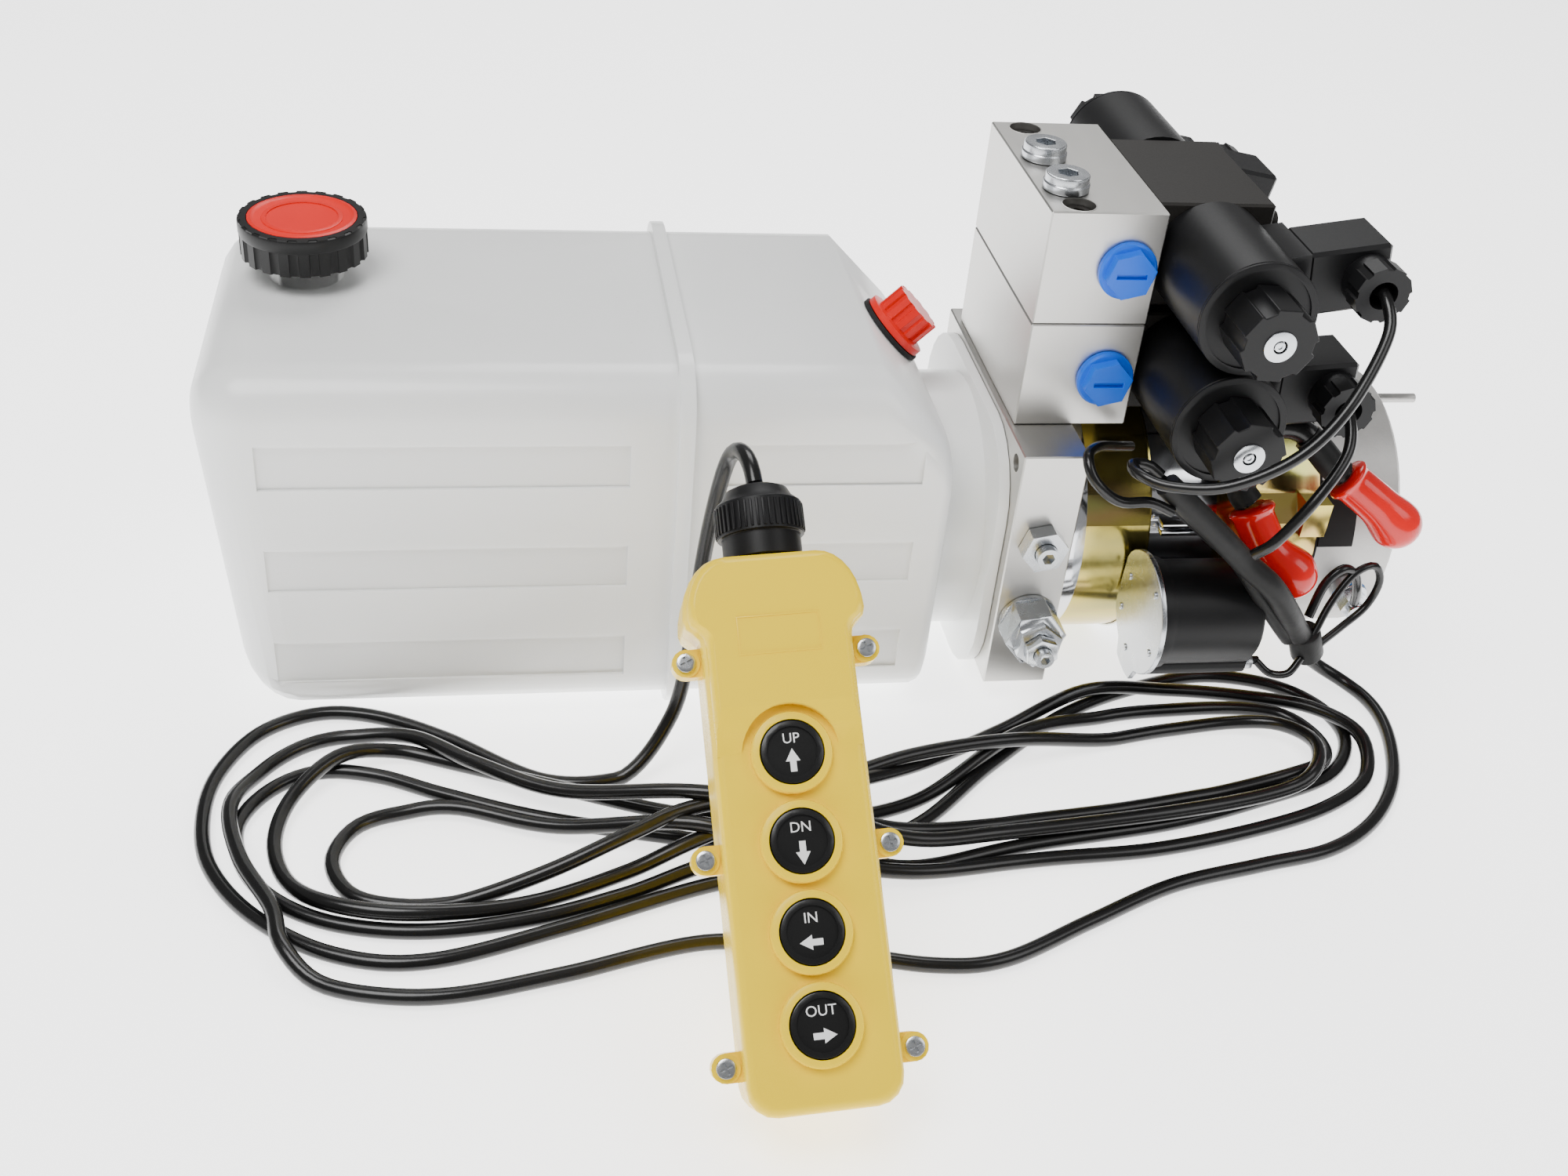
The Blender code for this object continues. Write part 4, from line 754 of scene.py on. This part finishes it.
@dataclass
class Harness:
    """The valve leads with their sleeves, the small wires, the link cable and its two boots."""

    lead: float = 2.5
    sleeve: float = 5.4

    def build(self, bench: Bench) -> None:
        """Redraw each packed lead with a rounder sheath and add the small wires."""
        runs: dict[str, tuple[float, str, tuple[Triple, ...]]] = {
            "harness_sleeve": (self.sleeve, "sleeve_black", (
                (51.0, -103.5, 134.5), (62.0, -105.0, 125.0), (78.0, -106.0, 111.0), (93.0, -106.5, 97.0),
                (107.0, -110.0, 86.0), (120.0, -107.5, 70.0), (131.0, -100.0, 55.0), (137.5, -97.0, 47.5),
            )),
            "upper_front_lead": (self.lead, "cable_black", (
                (129.4, -82.5, 213.8), (129.4, -92.0, 213.8), (128.0, -104.0, 203.0), (110.0, -122.0, 181.0),
                (90.0, -130.0, 163.0), (66.0, -127.0, 148.0), (46.0, -117.0, 142.0), (36.0, -107.0, 142.0),
                (36.0, -99.5, 142.0), (43.0, -99.0, 141.0), (48.5, -101.5, 137.5),
            )),
            "lower_front_lead": (self.lead, "cable_black", (
                (129.8, -82.5, 160.2), (129.8, -91.0, 160.2), (126.0, -105.0, 150.0), (112.0, -116.0, 135.0),
                (98.0, -119.0, 116.0), (91.0, -116.0, 107.0),
            )),
            "rear_lead": (self.lead, "cable_black", (
                (129.2, 82.5, 196.1), (129.2, 92.0, 196.1), (133.0, 104.0, 176.0), (120.0, 108.0, 150.0),
                (92.0, 108.0, 126.0), (62.0, 96.0, 120.0), (44.0, 64.0, 121.0), (38.0, 30.0, 126.2),
            )),
        }
        for name, (radius, slot, route) in runs.items():
            piece = bench.tube(name + "_sheath", smooth_route(route, LEAD_POINTS, FLOOR_LIFT), radius, slot)
            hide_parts(name)
        small: dict[str, tuple[float, tuple[Triple, ...]]] = {
            "rear_loop_wire": (2.3, (
                (50.0, -62.0, 128.0), (38.0, -72.0, 134.0), (26.0, -84.0, 141.0), (18.0, -95.0, 143.0),
                (20.0, -103.0, 136.0), (31.0, -106.0, 128.0), (44.0, -107.0, 128.0), (54.0, -108.5, 124.0),
            )),
            "cross_wire": (2.0, (
                (44.0, -100.0, 139.0), (54.0, -98.0, 132.0), (68.0, -95.0, 126.0), (84.0, -88.0, 124.0),
                (96.0, -80.0, 126.0),
            )),
            "ground_wire": (1.8, (
                (140.0, -100.0, 51.0), (148.0, -93.0, 64.0), (158.0, -88.0, 76.0), (168.0, -86.0, 79.0),
                (173.0, -86.0, 70.0), (169.0, -88.0, 58.0), (158.0, -92.0, 50.0), (146.0, -98.0, 45.0),
            )),
            "second_ground_wire": (2.2, (
                (138.0, -95.0, 58.0), (144.0, -90.0, 72.0), (152.0, -88.0, 79.0), (160.0, -86.0, 74.0),
                (166.0, -82.0, 62.0), (170.0, -77.0, 52.0),
            )),
            "coil_wire": (1.8, (
                (118.0, -97.0, 35.0), (124.0, -101.0, 31.0), (131.0, -104.0, 33.0), (137.0, -101.0, 39.0),
            )),
        }
        second = smooth_route((
            (62.0, -95.5, 119.0), (80.0, -97.0, 104.0), (94.0, -99.0, 92.0), (107.0, -104.5, 76.0),
            (120.0, -103.0, 60.0), (130.0, -97.0, 48.0),
        ), LEAD_POINTS, FLOOR_LIFT)
        bench.tube("second_sleeve", second, 3.6, "sleeve_black")
        for name, (radius, route) in small.items():
            bench.tube(name, smooth_route(route, WIRE_POINTS, FLOOR_LIFT), radius, "cable_black")
        tape = facing(at(136.5, -97.5, 51.5), (0.42, 0.18, -0.9))
        bench.carry(bench.drum("junction_tape", 7.4, 17.0, tape, 28, 1.6), "sleeve_black")
        self._link(bench)

    def _link(self, bench: Bench) -> None:
        """The thick link cable between the two boots, and the shrink sleeves on its ends."""
        route = (
            (108.6, -68.8, 102.1), (104.5, -65.0, 107.5), (109.0, -57.0, 121.0), (118.0, -53.0, 131.0),
            (131.0, -57.0, 132.0), (143.5, -65.8, 120.4), (149.8, -68.1, 115.9),
        )
        places = smooth_route(route, LEAD_POINTS, FLOOR_LIFT)
        cable = bench.tube("link_cable_sheath", places, 5.5, "cable_black")
        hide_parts("power_link_cable")
        ends = (
            ("motor", (
                (133.0, -58.5, 130.2), (138.5, -61.8, 125.6), (144.0, -65.8, 120.2), (148.6, -67.8, 116.7),
            )),
            ("contactor", ((108.2, -68.5, 102.6), (105.0, -65.4, 107.2), (106.2, -61.5, 114.0))),
        )
        for name, run in ends:
            bench.tube(name + "_shrink_sleeve", smooth_route(run, 24, FLOOR_LIFT), 6.6, "sleeve_black")
        self._boot(bench, "motor_boot", (
            (150.6, -68.3, 115.3), (158.0, -71.5, 110.6), (167.0, -75.2, 104.3), (176.0, -77.8, 96.6),
            (184.0, -79.2, 88.2),
        ))
        self._boot(bench, "contactor_boot", (
            (109.2, -69.2, 101.4), (112.6, -73.2, 94.0), (119.0, -79.8, 83.6), (129.0, -86.0, 76.0),
            (138.6, -89.6, 71.2),
        ))

    def _boot(self, bench: Bench, name: str, run: tuple[Triple, ...]) -> None:
        """A soft terminal boot: a rolled lip, a slim neck and a swollen end over its stud."""
        count = 90
        places = smooth_route(run, count, FLOOR_LIFT)
        radii = []
        for number in range(count):
            share = number / (count - 1)
            neck = 9.2 + 2.6 / (1 + math.exp(-(share - 0.6) * 16))
            lip = 1.3 * math.exp(-((share - 0.05) / 0.035) ** 2)
            mouth = min(1.0, 0.72 + share * 14)
            close = math.sqrt(max(0.0, 1 - (max(0.0, share - 0.74) / 0.26) ** 2))
            radii.append((neck + lip) * mouth * close)
        boot = bench.tube(name + "_sleeve", places, 1.0, "boot_red", radii)
        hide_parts(name)


@dataclass
class PendantDress:
    """Screws, legends, button rims, a blank label and the gland's ribs."""

    origin: Triple = (-123.8, -233.5, 110.0)
    rise: float = 41.0
    turn: float = -4.0
    roll: float = 5.0
    pitch: float = 30.4
    ear_rows: tuple[float, ...] = (36.0, -33.0, -102.0)
    ear_offset: float = 32.2
    gland_ribs: int = 44

    def place(self, u: float, v: float, n: float) -> Matrix:
        """A placement on the pendant's face, its Z out of the face, at millimetres across, along and out."""
        rise, turn, roll = (math.radians(angle) for angle in (self.rise, self.turn, self.roll))
        along = Vector((math.sin(turn) * math.cos(rise), math.cos(turn) * math.cos(rise), math.sin(rise)))
        across = Vector((math.cos(turn), -math.sin(turn), 0))
        out = across.cross(along)
        across = math.cos(roll) * across + math.sin(roll) * out
        out = across.cross(along)
        return axes(across, along, out, at(*self.origin)) @ Matrix.Translation(Vector((u, v, n)) * MM)

    def build(self, bench: Bench) -> None:
        """Add everything that sits on the pendant's shells."""
        self._screws(bench)
        self._buttons(bench)
        self._label(bench)
        self._gland(bench)

    def _screws(self, bench: Bench) -> None:
        """Six cross-head screws on the ears."""
        for row, v in enumerate(self.ear_rows):
            for side in (-1, 1):
                name = f"shell_screw_{row}_{'left' if side < 0 else 'right'}"
                spot = self.place(side * self.ear_offset, v, -12.0)
                screw = bench.drum(name, 3.5, 1.9, spot, 24, 0.6)
                for spin in (20, 110):
                    turned = spot @ Matrix.Rotation(math.radians(spin), 4, "Z")
                    slot = bench.block(name + "_slot", (4.4, 0.9, 2.0), lifted(turned, 0.9), 0.0)
                    screw = bench.shape(screw, Shape.CUT, slot)
                bench.carry(screw, "zinc_steel")

    def _buttons(self, bench: Bench) -> None:
        """A white legend and a rim on each button, and a soft collar round it."""
        legends = (("up", "UP", 90), ("down", "DN", -90), ("in", "IN", 180), ("out", "OUT", 0))
        for number, (name, words, heading) in enumerate(legends):
            v = -self.pitch * number
            body = name + "_button"
            rim = bench.drum(name + "_rim", 10.9, 1.1, self.place(0, v, 0.3), 40, 0.5)
            hollow = bench.drum(name + "_rim_tool", 8.8, 3.0, self.place(0, v, 0.5), 40)
            bench.carry(bench.shape(rim, Shape.CUT, hollow), "button_black", body)
            bench.legend(name + "_word", words, 5.0, self.place(0, v + 4.6, 0.55), body)
            arrow = self.place(0, v - 3.4, 0.5) @ Matrix.Rotation(math.radians(heading), 4, "Z")
            tip = arrow @ Matrix.Translation((1.7 * MM, 0, 0)) @ Matrix.Rotation(math.radians(-90), 4, "Z")
            head = bench.drum(name + "_arrow", 2.9, 0.18, tip, 3)
            tail = arrow @ Matrix.Translation((-1.4 * MM, 0, 0))
            shaft = bench.block(name + "_arrow_shaft", (4.0, 2.2, 0.18), tail, 0.0)
            bench.carry(bench.shape(head, Shape.JOIN, shaft), "button_black", body, "white_print")
            collar = bench.drum(name + "_collar", 14.2, 4.2, self.place(0, v, -3.2), 56, 1.4)
            bore = bench.drum(name + "_collar_tool", 11.3, 9.0, self.place(0, v, -6.0), 40)
            bench.carry(bench.shape(collar, Shape.CUT, bore), "pendant_yellow")

    def _label(self, bench: Bench) -> None:
        """The blank label's thin raised edge."""
        spot = self.place(0, 41.4, 1.95)
        plate = bench.block("label_edge", (29.2, 13.7, 0.35), spot, 0.1)
        inner = bench.block("label_edge_tool", (28.2, 12.7, 1.0), lifted(spot, -0.2), 0.0)
        bench.carry(bench.shape(plate, Shape.CUT, inner), "pendant_yellow")

    def _gland(self, bench: Bench) -> None:
        """The gland nut's fine grip ribs."""
        middle = self.place(0, 0, -19.0)
        for number in range(self.gland_ribs):
            spin = Matrix.Rotation(2 * math.pi * number / self.gland_ribs, 4, "Y")
            rib = middle @ spin @ Matrix.Translation((0, 87.0 * MM, 15.6 * MM))
            bench.carry(bench.block(f"gland_rib_{number}", (1.1, 10.0, 0.9), rib, 0.25), "coil_black")


@dataclass
class ValveDress:
    """Nut faces, connector seams and fixing screws on the two solenoid valves."""

    centre_x: float = 76.0
    levels: dict[str, float] = field(default_factory=lambda: {"upper": 205.5, "lower": 155.5})
    tilts: dict[tuple[str, int], float] = field(default_factory=lambda: {
        ("upper", -1): 8.8, ("lower", -1): 5.0, ("upper", 1): -10.0, ("lower", 1): -5.0,
    })

    def build(self, bench: Bench) -> None:
        """Dress both ends of both valves."""
        for level, height in self.levels.items():
            for side, end in ((-1, "front"), (1, "rear")):
                self._nut_face(bench, f"{level}_{end}", height, side)
                self._connector(bench, level, side, end, height)
            for y in (-30.0, 30.0):
                for z in (-14.0, 14.0):
                    spot = facing(at(101.6, y, height + z), (1, 0, 0))
                    name = f"{level}_valve_screw_{'front' if y < 0 else 'rear'}_{'low' if z < 0 else 'high'}"
                    bench.carry(bench.socket_screw(name, 4.3, 3.6, 4.0, spot), "valve_black")

    def _nut_face(self, bench: Bench, name: str, height: float, side: int) -> None:
        """The bright ring and the override pin in a coil nut, and the coil's rim."""
        spot = facing(at(self.centre_x, side * 117.6, height), (0, side, 0))
        disc = bench.drum(name + "_nut_disc", 6.6, 1.0, spot, 40, 0.3)
        groove = bench.drum(name + "_disc_tool", 2.9, 2.0, lifted(spot, -0.4), 32)
        bench.carry(bench.shape(disc, Shape.CUT, groove), "zinc_steel")
        pin = bench.drum(name + "_override_pin", 2.2, 0.9, lifted(spot, -0.2), 32, 0.3)
        dimple = bench.drum(name + "_pin_tool", 1.1, 2.0, lifted(spot, 0.2), 16)
        bench.carry(bench.shape(pin, Shape.CUT, dimple), "zinc_steel", name.split("_")[0] + "_spool")
        edge = facing(at(self.centre_x, side * 94.6, height), (0, side, 0))
        rim = bench.drum(name + "_coil_rim", 24.5, 1.4, edge, 64, 0.5)
        bore = bench.drum(name + "_rim_tool", 21.5, 4.0, lifted(edge, -1.0), 48)
        bench.carry(bench.shape(rim, Shape.CUT, bore), "coil_black")

    def _connector(self, bench: Bench, level: str, side: int, end: str, height: float) -> None:
        """The connector's seal line and its fixing screw."""
        tilt = math.radians(self.tilts[level, side])
        out = Vector((math.cos(tilt), 0, math.sin(tilt)))
        away = Vector((0, side, 0))
        up = out.cross(away) if side < 0 else away.cross(out)
        foot = at(self.centre_x, side * 60.0, height)
        base = axes(away, up if away.cross(up).dot(out) > 0 else -up, out, foot)
        name = f"{level}_{end}"
        seal = bench.block(name + "_seal_lip", (29.4, 29.4, 1.4), lifted(base, 27.6), 0.4)
        bench.carry(seal, "seal_rubber")
        screw_at = lifted(base, 63.4)
        screw = bench.drum(name + "_fixing_screw", 3.2, 1.6, screw_at, 28, 0.4)
        slot = bench.block(name + "_screw_slot", (7.0, 0.9, 2.0), lifted(screw_at, 1.0), 0.0)
        bench.carry(bench.shape(screw, Shape.CUT, slot), "zinc_steel")


@dataclass
class BlockDress:
    """Cap screws in the counterbores with their bright edges, and the check valve's lock nut."""

    bolt_x: float = 13.5
    bolt_rows: tuple[float, ...] = (42.2, -42.2)
    block_top: float = 230.0
    front: float = -77.0

    def build(self, bench: Bench) -> None:
        """Add the fasteners of the aluminium blocks."""
        for number, y in enumerate(self.bolt_rows):
            spot = facing(at(self.bolt_x, y, self.block_top - 8.9), (0, 0, 1))
            bench.carry(bench.socket_screw(f"block_screw_{number}", 6.2, 6.0, 6.0, spot), "valve_black")
        for number, y in enumerate(self.bolt_rows):
            edge = facing(at(self.bolt_x, y, self.block_top - 0.05), (0, 0, 1))
            lip = bench.drum(f"counterbore_edge_{number}", 7.4, 0.2, edge, 48, 0.05)
            tool = bench.drum(f"counterbore_tool_{number}", 6.9, 2.0, lifted(edge, -1.0), 48)
            bench.carry(bench.shape(lip, Shape.CUT, tool), "block_aluminium")
        check = facing(at(13.0, self.front - 21.8, 47.0), (0, -1, 0), 10.0)
        bench.carry(bench.nut("check_lock_nut", 13.5, 4.8, 4.3, check), "zinc_steel")


@dataclass
class TankDress:
    """The filler cap's smooth rim and the dished red insert's ring."""

    filler: tuple[float, float] = (-298.5, 17.0)
    cap_top: float = 194.0
    cap_radius: float = 26.0

    def build(self, bench: Bench) -> None:
        """Add the cap's rings."""
        foot = facing(at(*self.filler, self.cap_top - 6.2), (0, 0, 1))
        rim = bench.drum("cap_rim", self.cap_radius + 0.25, 5.9, foot, 72, 0.9)
        tool = bench.drum("cap_rim_tool", self.cap_radius - 2.4, 9.0, lifted(foot, -1.0), 72)
        bench.carry(bench.shape(rim, Shape.CUT, tool), "cap_black", "filler_cap")
        top = facing(at(*self.filler, self.cap_top - 1.4), (0, 0, 1))
        ring = bench.drum("insert_ring", 16.6, 1.1, top, 64, 0.4)
        tool = bench.drum("insert_ring_tool", 14.6, 3.0, lifted(top, -1.0), 64)
        bench.carry(bench.shape(ring, Shape.CUT, tool), "cap_red", "filler_cap")


@dataclass
class MotorDress:
    """The bell's ring, the cap's seam and grommet, the strap's lugs and the ground terminal's washers."""

    axis_z: float = 64.0
    radius: float = 63.0

    def build(self, bench: Bench) -> None:
        """Add the rings and fasteners of the motor and contactor."""
        self._ring(bench, "front_bell", 27.4, 11.6, self.radius + 0.25, "bright_chrome")
        self._ring(bench, "cap_seam", 150.4, 1.2, self.radius + 0.2, "seal_rubber")
        self._ground(bench)
        self._contactor(bench)
        self._grommet(bench)

    def _grommet(self, bench: Bench) -> None:
        """The black patch that seals the terminal's lead through the end cap."""
        lean = math.atan2(33.0, -77.5)
        out = Vector((0, math.cos(lean), math.sin(lean)))
        across = Vector((0, -out.z, out.y))
        foot = at(160.0, 0, self.axis_z) + out * 58.6 * MM
        place = axes(across.cross(out), across, out, foot)
        patch = bench.block("terminal_grommet", (17.0, 31.0, 5.9), place, 0.0)
        start = facing(at(140.0, 0, self.axis_z), (1, 0, 0))
        shell = bench.drum("grommet_tool", self.radius + 0.9, 40.0, start, 128)
        bench.carry(bench.shape(patch, Shape.KEEP, shell), "seal_rubber")

    def _ring(self, bench: Bench, name: str, start: float, length: float, radius: float, slot: str) -> None:
        """Add a thin band round the motor.

        Args:
            bench: The bench that models it.
            name: The band's name.
            start: Its left edge in the maker's millimetres.
            length: Its width in millimetres.
            radius: Its outer radius in millimetres.
            slot: The record's slot that its finish comes from.
        """
        spot = facing(at(start, 0, self.axis_z), (1, 0, 0))
        band = bench.drum(name, radius, length, spot, 112, 0.15)
        tool = bench.drum(name + "_tool", self.radius - 1.0, length + 4, lifted(spot, -2), 112)
        bench.carry(bench.shape(band, Shape.CUT, tool), slot)

    def _ground(self, bench: Bench) -> None:
        """The ground terminal's blue and plain washers."""
        foot = at(172.0, -61.65, 51.0)
        out = (0.0, -61.65, -13.0)
        stack = (("blue_washer", 8.2, 1.6, 5.2, "washer_blue"), ("plain_washer", 8.0, 1.2, 7.0, None))
        for name, radius, length, height, look in stack:
            spot = facing(foot, out) @ Matrix.Translation((0, 0, height * MM))
            washer = bench.drum(name, radius, length, spot, 32, 0.2)
            tool = bench.drum(name + "_tool", 4.05, length + 2, lifted(spot, -1.0), 24)
            bench.carry(bench.shape(washer, Shape.CUT, tool), "zinc_steel", UNIT, look)

    def _contactor(self, bench: Bench) -> None:
        """Rivets on the contactor's plate, its rib's nut and the strap's lugs."""
        rivets = ((-72.0, 66.0), (-101.0, 76.0), (-108.0, 50.0), (-84.0, 35.0), (-70.0, 48.0))
        for number, (y, z) in enumerate(rivets):
            spot = facing(at(59.8, y, z), (-1, 0, 0))
            bench.carry(bench.drum(f"plate_rivet_{number}", 1.7, 0.9, spot, 16, 0.4), "zinc_steel")
        nut = facing(at(111.8, -96.3, 35.0), (1, 0, 0))
        bench.carry(bench.nut("rib_nut", 7.0, 3.4, 2.2, nut), "zinc_steel")
        for number, z in enumerate((86.0, 90.0)):
            lug = axes(Vector((1, 0, 0)), Vector((0, 0, 1)), Vector((0, -1, 0)), at(84.0, -60.5, z))
            bench.carry(bench.block(f"strap_lug_{number}", (26.0, 2.2, 8.0), lug, 0.4), "bright_chrome")


def main() -> None:
    """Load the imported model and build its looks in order."""
    logging.basicConfig(level=logging.INFO, format="%(name)s: %(message)s")
    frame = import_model()
    Studio().build()
    bench = Bench()
    PendantCord().build(bench)
    bench.dress_nodes(frame)
    for part in (Harness(), PendantDress(), ValveDress(), BlockDress(), TankDress(), MotorDress()):
        part.build(bench)
        LOG.info("finished %s", type(part).__name__)


if __name__ == "__main__":
    main()
